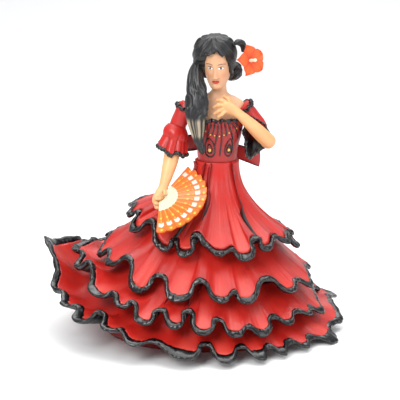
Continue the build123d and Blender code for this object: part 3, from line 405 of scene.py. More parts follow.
def flounce(name, tier, seat, power, flap, columns=1260, rows=34):
    """A flounce whose inside is black paint near the hem and painted shade in deep red
    above it, with the gathered black border on its hem.
    """
    grid, line = flounce_grid(tier, seat, power, columns, rows + 1)
    normals = grid_normals(grid)
    out, down = normals[-1], unit(grid[-1] - grid[-2])
    degrees, lean = line[:, 0], line[:, 1]
    outer = grid[:-1]
    inner = (grid - normals * WALL)[:-1][::3][::-1]
    hem_edge = (outer[-1:] + inner[:1]) / 2
    shell = np.concatenate([outer, hem_edge, inner])
    share = np.linspace(0, 1, rows)[:, None]
    # Painted shade: the red darkens in the inward folds towards the hem; painted highlight: it
    # lightens on the outward crests.
    painted_crease_shade = np.clip(0.5 - 0.5 * lean, 0, 1)[None] * share ** 1.3
    body = mix(RED, RED_PAINTED_SHADE, 0.55 * smooth(painted_crease_shade, 0.35, 1.0))
    lit = 0.5 * smooth(lean[None] * share, 0.3, 1.0)
    body = body + (np.array(RED_PAINTED_HIGHLIGHT) - RED) * lit[..., None]
    # Inside of the flounce: black paint near the hem, painted shade in deep red over the rest.
    under = np.broadcast_to(np.array(BLACK), (1 + len(inner), columns, 3)).copy()
    dark = smooth(np.linspace(1, 0, len(inner)), 0.45, 0.75)[:, None, None]
    under[1:] = np.array(RED_PAINTED_SHADE) * (1 - dark) + np.array(BLACK) * dark
    paint_rows = np.concatenate([body, under])
    grid_mesh(name, shell, SATIN_RED, "red_paint", [name], wrap=True, close=True,
              colour=paint_rows)
    arc = np.radians(degrees)
    half = tier["border"] * (1 + 0.14 * ripple(arc, 3 + rows, 4, 23)
                             + flap * smooth(lean, 0.2, 1.0))
    thick = 0.78 * (1 + 0.22 * ripple(arc, 11 + rows, 5, 37))
    turn = np.linspace(0, 2 * np.pi, 22, endpoint=False)[:, None]
    pinch = 1 + 0.10 * np.sin(2 * turn + 9 * arc) + 0.07 * np.sin(3 * turn - 31 * arc)
    middle = grid[-1] - out * (WALL / 2) + down * (half - tier["border"])[:, None] * 0.5
    band = (middle + down * (half * np.cos(turn) * pinch)[..., None]
            + out * (thick * np.sin(turn) * pinch)[..., None])
    band[..., 2] = np.maximum(band[..., 2], 0.06)
    grid_mesh(name + "_border", band, GLOSS_BLACK, "black_paint", [name + "_border"],
              wrap=True, close=True)


flounce("overskirt", OVERSKIRT, waist_seat, 2.2, 0.25, rows=42)
flounce("second_flounce", SECOND, under_seat(OVERSKIRT), 1.05, 0.2)
flounce("third_flounce", THIRD, under_seat(SECOND), 1.05, 0.35)
flounce("hem_flounce", HEM, under_seat(THIRD), 1.05, 0.75)

# ---- Trunk and bodice: (height, x, y, half width, half depth) ----
TRUNK = (
    (58.7, 0.1, 0.0, 5.6, 4.6), (62.0, 0.1, 0.0, 5.9, 4.8), (66.0, 0.2, -0.2, 6.8, 5.4),
    (69.5, 0.3, -0.7, 7.3, 5.9), (72.5, 0.1, -0.6, 7.8, 5.6), (75.2, -0.5, 0.0, 8.9, 4.7),
    (77.3, -0.8, 0.4, 9.6, 3.9), (78.9, -0.4, 0.6, 7.0, 3.2), (80.2, 0.3, 0.5, 3.6, 2.7),
    (81.8, 0.7, 0.2, 2.4, 2.4), (83.6, 0.8, -0.1, 2.3, 2.3),
)


def stack(levels, rows, points=160, grow=0.0):
    """Level ovals between two ends: (half width cos, half depth sin) at each height."""
    line = curve(levels, rows)
    turn = np.radians(90) + np.linspace(0, 2 * np.pi, points, endpoint=False)
    x = line[:, 1:2] + (line[:, 3:4] + grow) * np.cos(turn)
    y = line[:, 2:3] + (line[:, 4:5] + grow) * np.sin(turn)
    return np.stack([x, y, np.broadcast_to(line[:, :1], x.shape)], -1), turn


def sealed(grid):
    """Adds a point-like ring at both ends, so that the stack closes."""
    first = np.broadcast_to(grid[:1].mean(1, keepdims=True), grid[:1].shape)
    last = np.broadcast_to(grid[-1:].mean(1, keepdims=True), grid[-1:].shape)
    return np.concatenate([first, grid, last])


def both_sealed(grid, tone):
    """Closing rings for a grid and for the paint on it."""
    return sealed(grid), sealed(tone)


def plain(grid, colour):
    """One paint colour for a whole grid."""
    return np.broadcast_to(np.array(colour, float), grid.shape).copy()


trunk, _ = stack(TRUNK, 90)
bone = np.exp(-((trunk[..., 2] - 79.0 + 0.05 * np.abs(trunk[..., 0])) / 0.55) ** 2)
front = smooth(-trunk[..., 1], 1.5, 3.2) * smooth(np.abs(trunk[..., 0] - 0.6), 0.8, 2.0)
trunk[..., 1] -= 0.28 * bone * front
grid_mesh("torso", sealed(trunk), SKIN_PAINT, "skin_paint", ["torso"], wrap=True,
          colour=plain(sealed(trunk), (0.78, 0.46, 0.27)))

BODICE = ((57.9, 0.1, 0.0, 5.6, 4.6), *TRUNK[1:5])
BODICE_OUTSIDE = 0.98     # outer face of the bodice beyond the trunk
BODICE_INSIDE = 0.1       # inner face of the bodice beyond the trunk
bodice, around = stack(BODICE, 120, 300, grow=BODICE_OUTSIDE)
pleat = 0.5 + 0.5 * np.cos((np.degrees(around) % 360 - 270) / 5.2 * np.pi)
top_share = np.linspace(0, 1, 120)[:, None]
swell = 0.22 * pleat[None] * smooth(top_share, 0.45, 0.95)
swell = swell * smooth(-np.sin(around), 0.1, 0.4)[None]
middle_line = bodice.mean(1, keepdims=True)
bodice = bodice + unit((bodice - middle_line) * (1, 1, 0)) * swell[..., None]
bodice_inner, _ = stack(BODICE, 120, 300, grow=BODICE_INSIDE)
# The bodice's own darker red, with painted shade in the hollows between the pleats towards the top.
bodice_paint_and_pleat_shade = mix(BODICE_RED, (0.16, 0.006, 0.006), np.clip(1 - pleat, 0, 1)[None]
                   * smooth(top_share, 0.45, 0.9) * 0.7)
shell = np.concatenate([bodice, bodice_inner[::-1]])
grid_mesh("bodice", shell, SATIN_RED, "bodice_red", ["bodice"], wrap=True, close=True,
          colour=np.concatenate([bodice_paint_and_pleat_shade, bodice_paint_and_pleat_shade[::-1]]))


def on_bodice(degrees, height, lift=0.0):
    """Place on the bodice in given directions at given heights, and the outward direction."""
    line = curve(BODICE, 400)
    at = [np.interp(height, line[:, 0], line[:, k]) for k in (1, 2, 3, 4)]
    turn = np.radians(degrees)
    out = unit(np.stack([np.cos(turn) / at[2], np.sin(turn) / at[3], 0 * turn], -1))
    place = np.stack([at[0] + (at[2] + BODICE_OUTSIDE) * np.cos(turn),
                      at[1] + (at[3] + BODICE_OUTSIDE) * np.sin(turn), height + 0 * turn], -1)
    return place + out * lift, out


PIPE_POINTS = 10         # points round a raised line


def pipes(name, lines, radius, material, slot, nodes):
    """Raised lines: for each line a small circle (cosine across, sine outwards) carried
    along it; the lines are joined into one piece."""
    points, quads, first = [], [], 0
    for middles, outs, closed in lines:
        run = np.roll(middles, -1, 0) - np.roll(middles, 1, 0) if closed else np.gradient(
            middles, axis=0)
        across = unit(np.cross(run, outs))
        turn = np.linspace(0, 2 * np.pi, PIPE_POINTS, endpoint=False)
        count = len(middles)
        size = np.full(count, radius)
        if not closed:
            size = radius * np.sqrt(np.clip(np.sin(np.linspace(0.02, np.pi - 0.02, count)) * 2.2,
                                            0.02, 1))
        ring = (middles[:, None] + across[:, None] * (size[:, None] * np.cos(turn))[..., None]
                + outs[:, None] * (size[:, None] * np.sin(turn))[..., None])
        quads.append(patch(count, PIPE_POINTS, first, True, closed))
        points.append(ring.reshape(-1, 3))
        first += count * PIPE_POINTS
    return raw_mesh(name, np.concatenate(points), np.concatenate(quads), material, slot, nodes)


# Raised lines that fan out from the neckline: (direction, height) stations.
RAYS = (
    ((236, 71.6), (226, 69.2), (217, 66.4), (211, 63.4)),
    ((246, 71.7), (239, 69.6), (233, 67.2), (230, 64.6)),
    ((256, 71.7), (251, 69.8), (245, 67.4), (240, 65.4)),
    ((263, 71.7), (260, 69.6), (256, 67.6)),
    ((270, 71.7), (269, 69.0), (266, 66.2), (262, 63.6)),
    ((277, 71.7), (278, 69.0), (279, 66.0), (278, 62.6), (276, 60.2)),
    ((284, 71.7), (288, 69.4), (290, 67.2)),
    ((291, 71.7), (298, 69.6), (304, 67.6), (310, 65.6)),
    ((300, 71.6), (311, 69.8), (321, 67.8), (328, 65.6)),
    ((310, 71.4), (324, 70.0), (336, 68.2)),
)
# Teardrop loops: direction and height of the low middle, half width in degrees, height.
DROPS = ((248, 59.9, 19, 6.4), (302, 60.1, 15, 5.9), (248, 61.2, 9, 3.0), (302, 61.3, 7, 2.8))
raised_lines = []
for ray in RAYS:
    stations = curve(np.array(ray, float), 40)
    raised_lines.append((*on_bodice(stations[:, 0], stations[:, 1], 0.20), False))
for direction, height, half_width, tall in DROPS:
    turn = np.linspace(0, 2 * np.pi, 60, endpoint=False)
    rise = 0.5 - 0.5 * np.cos(turn)
    side = half_width * np.sin(turn) * (1 - 0.5 * rise)
    raised_lines.append((*on_bodice(direction + side, height + tall * rise, 0.16), True))
pipes("bodice_piping", raised_lines, 0.21, GLOSS_BLACK, "black_paint", ["bodice_piping"])

# Gilded studs: flattened domes, radius times (cos, sin) round and a low cosine height.
STUDS = ((226, 67.8, 0.26), (240, 68.8, 0.24), (252, 67.7, 0.26), (262, 67.4, 0.24),
         (273, 67.2, 0.26), (284, 67.6, 0.24), (296, 68.3, 0.26), (316, 69.6, 0.24),
         (248, 62.2, 0.62), (302, 62.2, 0.55))
studs = []
for direction, height, radius in STUDS:
    place, out = on_bodice(np.array([float(direction)]), np.array([height]), 0.12)
    across = unit(np.cross(out, (0, 0, 1)))
    upward = np.cross(across, out)
    turn = np.linspace(0, 2 * np.pi, 14, endpoint=False)[None, :, None]
    dome = np.linspace(0, np.pi, 9)[:, None, None]
    ball = (place + radius * np.sin(dome) * (across * np.cos(turn) + upward * np.sin(turn))
            + 0.65 * radius * np.cos(dome) * out)
    studs.append(ball)
raw_mesh("bodice_studs", *joined(studs, wrap=True), GOLD_PAINT, "gold_paint",
         ["bodice_studs"])


def gathered(name, middles, downs, outs, half, thick, seed, nodes, slot="black_paint",
             material=None):
    """Gathered border: an oval (half height cos, half thickness sin) carried round a
    closed line, its size and place disturbed by sums of sines."""
    arc = np.linspace(0, 2 * np.pi, len(middles), endpoint=False)
    turn = np.linspace(0, 2 * np.pi, 20, endpoint=False)[:, None]
    half = half * (1 + 0.2 * ripple(arc, seed, 5, 17))
    thick = thick * (1 + 0.25 * ripple(arc, seed + 1, 5, 23))
    middle = middles + outs * (0.12 * ripple(arc, seed + 2, 4, 19))[:, None]
    middle = middle + downs * (0.15 * ripple(arc, seed + 3, 4, 13))[:, None]
    pinch = 1 + 0.12 * np.sin(3 * turn - 21 * arc)
    band = (middle + downs * (half * np.cos(turn) * pinch)[..., None]
            + outs * (thick * np.sin(turn) * pinch)[..., None])
    return grid_mesh(name, band, material or GLOSS_BLACK, slot, nodes, wrap=True, close=True)


neck_angle = np.linspace(0, 360, 520, endpoint=False)
neck_height = 72.35 + 0.22 * np.sin(np.radians(neck_angle) * 17)
neck_line, neck_out = on_bodice(neck_angle, np.minimum(neck_height, 72.5), 0.15)
neck_line[:, 2] = neck_height
neck_wave = 0.28 * np.sin(np.radians(neck_angle) * 21)
gathered("neckline_ruffle", neck_line + neck_out * neck_wave[:, None],
         np.broadcast_to([0.0, 0.0, -1.0], neck_line.shape), neck_out, 0.62, 0.5, 40,
         ["neckline_ruffle"])

# ---- Sleeves: (x, y, z, half width, half thickness) ----
RIGHT_SLEEVE = ((-9.6, 0.4, 76.2, 2.5, 2.5), (-10.4, 0.5, 75.2, 2.9, 2.9),
                (-11.9, 0.7, 72.2, 2.95, 2.95), (-13.2, 0.6, 69.0, 2.75, 2.75),
                (-13.8, 0.3, 66.6, 2.6, 2.6))
LEFT_SLEEVE = ((8.2, 0.4, 76.4, 2.5, 2.5), (8.9, 0.6, 75.4, 2.8, 2.8),
               (10.9, 1.3, 73.0, 2.85, 2.85), (13.0, 1.4, 70.2, 2.8, 2.8),
               (14.6, 0.6, 67.6, 2.6, 2.6))


def creases(share, turn):
    """Soft folds of a tight sleeve: slow sines along and round it."""
    return 1 + 0.025 * np.sin(9 * share + 2 * turn) + 0.018 * np.sin(17 * share - 3 * turn)


for side, stations in (("right", RIGHT_SLEEVE), ("left", LEFT_SLEEVE)):
    sleeve = tube(stations, rings=90, points=60, groove=creases)
    grid_mesh(side + "_sleeve", sleeve, SATIN_RED, "red_paint", [side + "_sleeve"], wrap=True,
              colour=plain(sleeve, (0.50, 0.020, 0.016)))
    top, below = np.array(stations[1][:3]), np.array(stations[2][:3])
    axis = unit(below - top)
    turn = np.linspace(0, 2 * np.pi, 320, endpoint=False)[:, None]
    across = unit(np.cross(axis, (0, 1, 0)))
    out = across * np.cos(turn) + np.cross(across, axis) * np.sin(turn)
    wavy = 0.22 * np.sin(9 * turn) + 0.1 * np.sin(23 * turn)
    gathered(side + "_shoulder_frill", top + out * (stations[1][3] + 0.35 + wavy)
             + axis * (0.25 * np.cos(9 * turn)), np.broadcast_to(axis, out.shape), out,
             0.66, 0.5, 50, [side + "_shoulder_frill"])

# Rims of the sleeve ruffles as closed lines, where each starts, and how it puffs.
RIMS = {
    "right": (((-10.1, -1.5, 60.6), (-11.0, -4.6, 59.9), (-13.4, -5.4, 61.4), (-15.2, -5.9, 60.5),
               (-17.8, -4.6, 62.2), (-19.9, -1.8, 63.2), (-18.7, 1.6, 63.9), (-15.6, 3.4, 62.8),
               (-12.2, 2.4, 62.1)),
              (-13.3, 0.5, 69.4), (-0.3, -0.15, -1.0), 3.0, 0.9),
    "left": (((10.4, -1.6, 72.6), (13.2, -1.2, 72.0), (15.6, -0.6, 69.9), (18.3, 0.2, 66.0),
              (16.6, -0.2, 62.6), (13.2, -1.6, 60.6), (10.4, -3.4, 59.0), (9.4, -4.4, 62.6),
              (8.9, -4.4, 66.2), (8.9, -3.8, 69.8)),
             (13.0, 2.2, 69.0), (-0.1, -0.85, -0.5), 2.9, 0.3),
}
for side, (rim_knots, top, axis, radius, puff) in RIMS.items():
    rim = curve(np.array(rim_knots), 420, closed=True)
    top, axis = np.array(top), unit(np.array(axis))
    spread = rim - top
    spread = unit(spread - axis * (spread @ axis)[:, None])
    start = top + spread * radius
    line = unit(rim - start)
    share = np.linspace(0, 1, 30)[:, None, None]
    arc = np.linspace(0, 2 * np.pi, 420, endpoint=False)
    wave = 0.30 * np.sin(6 * arc + 0.8) + 0.14 * np.sin(11 * arc)
    end = rim - line * 0.45
    outer = start + (end - start) * share
    outer = outer + spread * (puff * np.sin(np.pi * np.clip(share * 1.9, 0, 1)) * 0.75
                              + share ** 1.5 * wave[:, None])
    inner = outer - spread * 0.7
    shell = np.concatenate([outer, inner[::-1]])
    # Painted shade in the inward folds of the ruffle; inside, black paint towards the rim and
    # painted shade in deep red deeper in.
    body = mix(RED, RED_PAINTED_SHADE, 0.6 * smooth(-wave[None] * share[..., 0], 0.0, 0.3))
    dark = smooth(np.linspace(1, 0, 30), 0.02 if side == "left" else 0.3, 0.5)[:, None, None]
    lining = np.array(RED_PAINTED_SHADE) * (1 - dark) + np.array(BLACK) * dark
    lining = np.broadcast_to(lining, inner.shape)
    grid_mesh(side + "_sleeve_ruffle", shell, SATIN_RED, "red_paint",
              [side + "_sleeve_ruffle"], wrap=True, close=True,
              colour=np.concatenate([body, lining]))
    gathered(side + "_sleeve_border", rim + spread * (wave[:, None] - 0.3), line, spread, 0.75,
             0.52, 60, [side + "_sleeve_border"])

# ---- Bow behind the waist ----
BOW_LOOPS = {
    "right": ((-1.6, 7.9, 60.4), (-5.5, 7.2, 62.0), (-9.6, 7.4, 62.3), (-11.6, 8.4, 61.6),
              (-9.4, 10.2, 61.2), (-5.2, 10.0, 61.2), (-1.7, 9.2, 60.4)),
    "left": ((1.8, 7.9, 60.2), (6.2, 7.3, 59.4), (12.0, 6.4, 57.4), (14.4, 7.4, 56.4),
             (12.4, 9.6, 56.8), (6.4, 10.0, 58.8), (2.0, 9.2, 60.2)),
}
for side, knots in BOW_LOOPS.items():
    middles = curve(np.array(knots), 260, closed=True)
    run = unit(np.roll(middles, -1, 0) - np.roll(middles, 1, 0))
    down = np.broadcast_to([0.0, 0.0, -1.0], run.shape)
    outs = unit(np.cross(run, down))
    turn = np.linspace(0, 2 * np.pi, 48, endpoint=False)[:, None]
    far = smooth(np.abs(middles[:, 0]), 2.0, 9.0)
    tall = 1.7 + 0.9 * far
    arc = np.linspace(0, 2 * np.pi, 260, endpoint=False)
    band = (middles + down * (tall * np.cos(turn))[..., None]
            + outs * (0.42 * np.sin(turn) + 0.15 * np.sin(5 * arc) * np.cos(turn))[..., None])
    edge = smooth(np.abs(np.cos(turn)) + 0 * arc, 0.80, 0.86)
    grid_mesh(side + "_bow_loop", band, SATIN_RED, "red_paint", [side + "_bow_loop"],
              wrap=True, close=True, colour=mix((0.36, 0.014, 0.012), BLACK, edge))
knot = tube(((0.1, 8.4, 58.3, 0.9, 1.1), (0.1, 8.5, 59.4, 1.5, 1.5), (0.1, 8.5, 60.9, 1.5, 1.5),
             (0.1, 8.4, 62.3, 0.9, 1.1)), rings=60, points=60,
            groove=lambda share, turn: 1 + 0.06 * np.sin(7 * turn) + 0 * share)
grid_mesh("bow_knot", knot, GLOSS_BLACK, "black_paint", ["bow_knot"], wrap=True)


# ---- Arms and hands: (x, y, z, half width, half thickness) ----
SKIN_VOXEL = 0.16         # mesh size of the skin of a hand


def hand(name, arm_stations, fingers, nodes):
    """Forearm and fingers: tapering ovals carried along lines, grown together into one skin
    by a fine remesh and smoothed."""
    parts = [tube(arm_stations, (0.3, 1.0, 0.4), rings=110, points=48)]
    for joints in fingers:
        a, b, c = (np.array(joint) for joint in joints)
        stations = [(*place, size, size) for place, size in (
            (a - (b - a) * 0.35, 0.62), (a, 0.66), ((a + b) / 2, 0.62), (b, 0.64),
            ((b + c) / 2, 0.58), (c, 0.56), (c + (c - b) * 0.3, 0.42))]
        parts.append(tube(stations, (0.2, 0.1, 1.0), rings=44, points=24))
    piece = raw_mesh(name, *joined(parts, wrap=True), SKIN_PAINT, "skin_paint", nodes)
    remesh = piece.modifiers.new("skin", "REMESH")
    remesh.mode = "VOXEL"
    remesh.voxel_size = SKIN_VOXEL * MM
    remesh.use_smooth_shade = True
    soften = piece.modifiers.new("soften", "SMOOTH")
    soften.factor = 0.6
    soften.iterations = 5
    bpy.context.view_layer.objects.active = piece
    for modifier in ("skin", "soften"):
        bpy.ops.object.modifier_apply(modifier=modifier)
    mesh = piece.data
    places = np.empty(len(mesh.vertices) * 3, np.float32)
    normals = np.empty(len(mesh.vertices) * 3, np.float32)
    mesh.vertices.foreach_get("co", places)
    mesh.vertices.foreach_get("normal", normals)
    places, normals = places.reshape(-1, 3) / MM, normals.reshape(-1, 3)
    tips = np.min([np.linalg.norm(places - np.array(joints[2]), axis=1)
                   for joints in fingers], axis=0)
    # Painted shade on the faces turned downwards; the paint is also darker near the fingertips.
    under = smooth(-normals[:, 2], -0.1, 0.8)
    tone = mix(SKIN, SKIN_SHADE, 0.55 * under + 0.25 * smooth(-tips, -1.6, -0.6))
    tone = tone * (1 + 0.05 * ripple(places[:, 2], 71, 4, 0.9))[:, None]
    layer = mesh.color_attributes.get("paint") or mesh.color_attributes.new(
        "paint", "FLOAT_COLOR", "POINT")
    rgba = np.ones((len(mesh.vertices), 4), np.float32)
    rgba[:, :3] = tone
    layer.data.foreach_set("color", rgba.ravel())
    return piece


RIGHT_FOREARM = ((-14.0, 0.0, 65.6, 2.2, 2.2), (-14.7, -1.6, 61.8, 2.6, 2.6),
                 (-15.6, -3.9, 57.8, 2.5, 2.45), (-16.8, -6.4, 53.6, 2.0, 1.9),
                 (-17.8, -8.3, 50.6, 1.6, 1.5), (-18.7, -9.6, 48.4, 2.0, 1.3),
                 (-19.5, -10.5, 46.4, 2.1, 1.3), (-20.0, -11.0, 44.9, 1.4, 0.9))
LEFT_FOREARM = ((14.6, 0.0, 67.0, 1.9, 1.9), (16.6, -1.6, 64.9, 2.5, 2.5),
                (16.6, -3.6, 65.2, 2.5, 2.6), (13.6, -5.8, 68.4, 2.4, 2.3),
                (10.2, -7.3, 71.9, 2.0, 1.9), (7.2, -8.0, 74.7, 1.6, 1.5),
                (5.0, -7.9, 76.2, 2.1, 1.15), (2.9, -7.7, 77.0, 2.3, 0.95),
                (1.6, -7.5, 77.3, 1.6, 0.7))
RIGHT_FINGERS = (((-20.4, -10.6, 47.6), (-20.2, -12.6, 47.4), (-18.8, -13.3, 47.6)),
                 ((-20.6, -10.8, 46.3), (-20.3, -12.7, 45.9), (-18.9, -13.3, 45.9)),
                 ((-20.4, -11.0, 45.0), (-20.0, -12.7, 44.5), (-18.8, -13.1, 44.5)),
                 ((-18.2, -9.4, 49.0), (-17.3, -11.4, 49.7), (-17.3, -12.6, 49.0)))
LEFT_FINGERS = (((3.2, -7.8, 78.4), (1.4, -7.9, 79.4), (0.0, -7.0, 79.2)),
                ((2.2, -7.9, 77.8), (0.4, -8.1, 77.9), (-1.0, -7.2, 77.0)),
                ((2.2, -7.8, 76.8), (0.4, -8.0, 75.9), (-0.9, -7.4, 74.9)),
                ((2.9, -7.8, 76.0), (1.5, -8.0, 74.8), (0.3, -7.8, 73.9)),
                ((4.6, -7.4, 77.6), (3.4, -6.4, 79.6), (2.2, -5.6, 80.2)))
hand("right_forearm", RIGHT_FOREARM, RIGHT_FINGERS, ["right_forearm"])
hand("left_forearm", LEFT_FOREARM, LEFT_FINGERS, ["left_forearm"])

# ---- Fan ----
FAN_PIVOT = np.array((-18.7, -11.6, 46.9))
FAN_X = unit(np.array((0.961, 0.068, 0.268)))
FAN_FACE = unit(np.cross(FAN_X, (-0.193, 0.866, 0.461)))
FAN_Y = np.cross(FAN_FACE, FAN_X)
FAN_ANGLES = (-104.0, 42.0)
FAN_PLEATS, FAN_RADIUS, HUB_RADIUS, FAN_WALL = 12, 15.8, 6.08, 0.9


def fan_sheet(name, inner, outer, slope, rim, rows, columns, painter, material, slot, nodes):
    """Pleated sector: radius and angle on a grid, height a triangle wave of the angle that
    grows with the radius; the wall stands on it; the rim is scalloped pleat by pleat."""
    share = np.linspace(0, 1, columns)[None, :]
    turn = np.radians(FAN_ANGLES[0] + (FAN_ANGLES[1] - FAN_ANGLES[0]) * share)
    phase = share * FAN_PLEATS
    fold = 1 - 4 * np.abs(phase - np.floor(phase) - 0.5)
    reach = np.linspace(0, 1, rows)[:, None]
    radius = inner + (outer - inner - rim * (0.5 + 0.5 * fold) ** 1.5) * reach
    height = -slope * radius * fold * 0.93

    def lay(lift):
        return (FAN_PIVOT + (radius * np.cos(turn))[..., None] * FAN_X
                + (radius * np.sin(turn))[..., None] * FAN_Y
                + (height + lift)[..., None] * FAN_FACE)

    bottom, top = lay(0.06), lay(FAN_WALL - 0.04)
    sheet = np.concatenate([top, bottom[::-1]])
    front = painter(radius, phase)
    # Painted shade: the back of the sheet is a darker copy of the front.
    back = painter(radius, phase) * 0.8
    sides = np.concatenate([front, back[::-1]])
    loop_ends = np.stack([sheet[:, 0], sheet[:, -1]])
    sheet = np.concatenate([loop_ends[:1].transpose(1, 0, 2), sheet], 1)
    sides = np.concatenate([sides[:, :1], sides], 1)
    middle = sheet.mean(0, keepdims=True)
    sheet = np.concatenate([sheet, sheet[:, -1:]], 1)
    sides = np.concatenate([sides, sides[:, -1:]], 1)
    sheet[:, 0] = middle[:, 0]
    sheet[:, -1] = middle[:, -1]
    piece = grid_mesh(name, sheet, material, slot, nodes, close=True, colour=sides,
                      smooth_shade=True)
    return piece


def leaf_paint(radius, phase):
    """Orange leaf: lighter along the middle fold of each pleat on the inner part, painted
    shade along the other folds, white rectangles and rows of gold dots.
    """
    side = phase - np.floor(phase)
    r = radius / FAN_RADIUS + 0 * phase
    middle_fold = smooth(-np.abs(side - 0.5), -0.13, -0.04) + 0 * r
    paint_on = mix(FAN_ORANGE, FAN_LIGHT, 0.75 * middle_fold * smooth(-r, -0.78, -0.5))
    # Painted shade along the folds between the pleats.
    paint_on = paint_on * (1 - 0.35 * smooth(-np.minimum(side, 1 - side), -0.1, 0.0)
                           + 0 * r)[..., None]
    block = (smooth(-np.abs(r - 0.80), -0.058, -0.045)
             * smooth(-np.abs(side - 0.5), -0.34, -0.29))
    paint_on = paint_on * (1 - block[..., None]) + np.array(FAN_WHITE) * block[..., None]
    for ring, size in ((0.60, 0.035), (0.93, 0.032), (0.70, 0.018)):
        apart = np.hypot((r - ring), (side - 0.5) * 0.17)
        dot = smooth(-apart, -size, -size * 0.7)
        paint_on = paint_on * (1 - dot[..., None]) + np.array(GOLD) * dot[..., None]
    return paint_on


def hub_paint(radius, phase):
    """Pale sticks with darker lines between them."""
    side = phase * 2 - np.floor(phase * 2)
    line = smooth(-np.minimum(side, 1 - side), -0.16, -0.02) + 0 * radius
    return mix(CREAM, (0.42, 0.27, 0.12), 0.8 * line)


fan_sheet("fan_leaf", HUB_RADIUS, FAN_RADIUS, 0.035, 0.5, 84, 560, leaf_paint, FAN_PAINT,
          "fan_paint", ["fan_leaf"])
fan_sheet("fan_sticks", 1.6, HUB_RADIUS, 0.021, 0.0, 24, 480, hub_paint, FAN_PAINT,
          "cream_paint", ["fan_sticks"])

# ---- Head: built about its own middle, then turned and tilted into place ----
HEAD_CENTRE = np.array((0.3, -0.6, 89.6))
HEAD_YAW, HEAD_NOD = math.radians(-10.0), math.radians(10.0)
NOD = np.array(((1, 0, 0), (0, math.cos(HEAD_NOD), -math.sin(HEAD_NOD)),
                (0, math.sin(HEAD_NOD), math.cos(HEAD_NOD))))
YAW = np.array(((math.cos(HEAD_YAW), -math.sin(HEAD_YAW), 0),
                (math.sin(HEAD_YAW), math.cos(HEAD_YAW), 0), (0, 0, 1)))
# Levels of the head: (height, y, half width, half depth).
SKULL = ((-6.9, -3.9, 0.9, 0.8), (-6.5, -3.5, 1.7, 1.8), (-5.9, -2.9, 2.4, 2.9),
         (-4.6, -1.6, 3.3, 4.2), (-2.4, -0.5, 4.2, 5.4), (0.4, 0.0, 4.6, 5.9),
         (3.2, 0.3, 4.7, 6.0), (5.8, 0.5, 4.2, 5.3), (7.8, 0.6, 2.9, 3.7),
         (8.9, 0.6, 1.0, 1.3))


def in_place(points):
    """Points of the head's own frame, nodded, turned and carried to the head's place."""
    return points @ NOD.T @ YAW.T + HEAD_CENTRE


def mound(x, z, x0, z0, wide, tall):
    """Soft round bump: e to the minus squared distance in widths and heights."""
    return np.exp(-((x - x0) / wide) ** 2 - ((z - z0) / tall) ** 2)


turn = np.linspace(0, 2 * np.pi, 420, endpoint=False)
turn = turn + 0.42 * np.cos(turn)      # closer columns over the face, at -y
levels = curve(SKULL, 230)
height, depth_middle = levels[:, 0][:, None], levels[:, 1][:, None]
wide, deep = levels[:, 2][:, None], levels[:, 3][:, None]
x = wide * np.cos(turn)
y = depth_middle + deep * np.sin(turn)
z = height + 0 * turn
front = smooth(-np.sin(turn), 0.15, 0.6)[None] * np.ones_like(height)
side_x = np.abs(x)
relief = -0.50 * mound(side_x, z, 1.85, 0.95, 1.15, 0.75)
relief += 0.40 * mound(side_x, z, 1.85, 0.85, 0.80, 0.46)
relief += 0.20 * mound(side_x, z, 1.8, 2.2, 1.5, 0.5)
bridge = np.clip((1.8 - z) / 3.9, 0, 1)
relief += ((0.30 + 1.0 * bridge ** 1.3) * np.exp(-(x / (0.42 + 0.36 * bridge)) ** 2)
           * smooth(-z, -1.9, -0.9) * smooth(z, -2.55, -2.15))
relief += 0.34 * mound(side_x, z, 0.78, -1.95, 0.42, 0.36)
relief += 0.22 * mound(x, z, 0.0, -3.25, 1.15, 0.30) + 0.27 * mound(x, z, 0.0, -3.95, 0.95, 0.34)
relief -= 0.20 * mound(x, z, 0.0, -3.58, 1.45, 0.11)
relief += 0.30 * mound(x, z, 0.0, -5.55, 1.1, 0.75)
relief -= 0.16 * mound(x, z, 0.0, -4.6, 1.2, 0.30)
relief += 0.16 * mound(side_x, z, 2.5, -1.3, 1.2, 1.1)
out = unit(np.stack([np.cos(turn) / 4.5 + 0 * z, np.sin(turn) / 5.6 + 0 * z, 0 * z], -1))
face = np.stack([x, y, z], -1) + out * (relief * front)[..., None]
# Painted features: brows, lids, whites, irises with a painted highlight in each, lips and a blush,
# all softly edged.
# Painted shade under the chin and on the sides of the head away from the face.
skin = mix(FACE_SKIN, SKIN_SHADE, 0.30 * smooth(-z, 4.8, 6.4) + 0.25 * (1 - front))
blush = mound(side_x, z, 2.5, -1.5, 1.1, 0.9) * front
skin = skin * (1 + blush[..., None] * np.array((0.03, -0.22, -0.28)))


def lay_on(base, colour, share):
    """Colour laid over the base where share is 1."""
    share = (share * front)[..., None]
    return base * (1 - share) + np.array(colour) * share


bend = ((side_x - 1.85) / 0.98)
almond = (z - 0.88) / (0.46 * np.sqrt(np.clip(1 - bend ** 2, 0.0004, 1)))
white = smooth(-np.abs(almond), -1.06, -0.94) * (np.abs(bend) < 1)
skin = lay_on(skin, EYE_WHITE, white)
iris = smooth(-np.hypot(side_x - 1.85, z - 0.90), -0.40, -0.35) * white
skin = lay_on(skin, EYE_BROWN, iris)
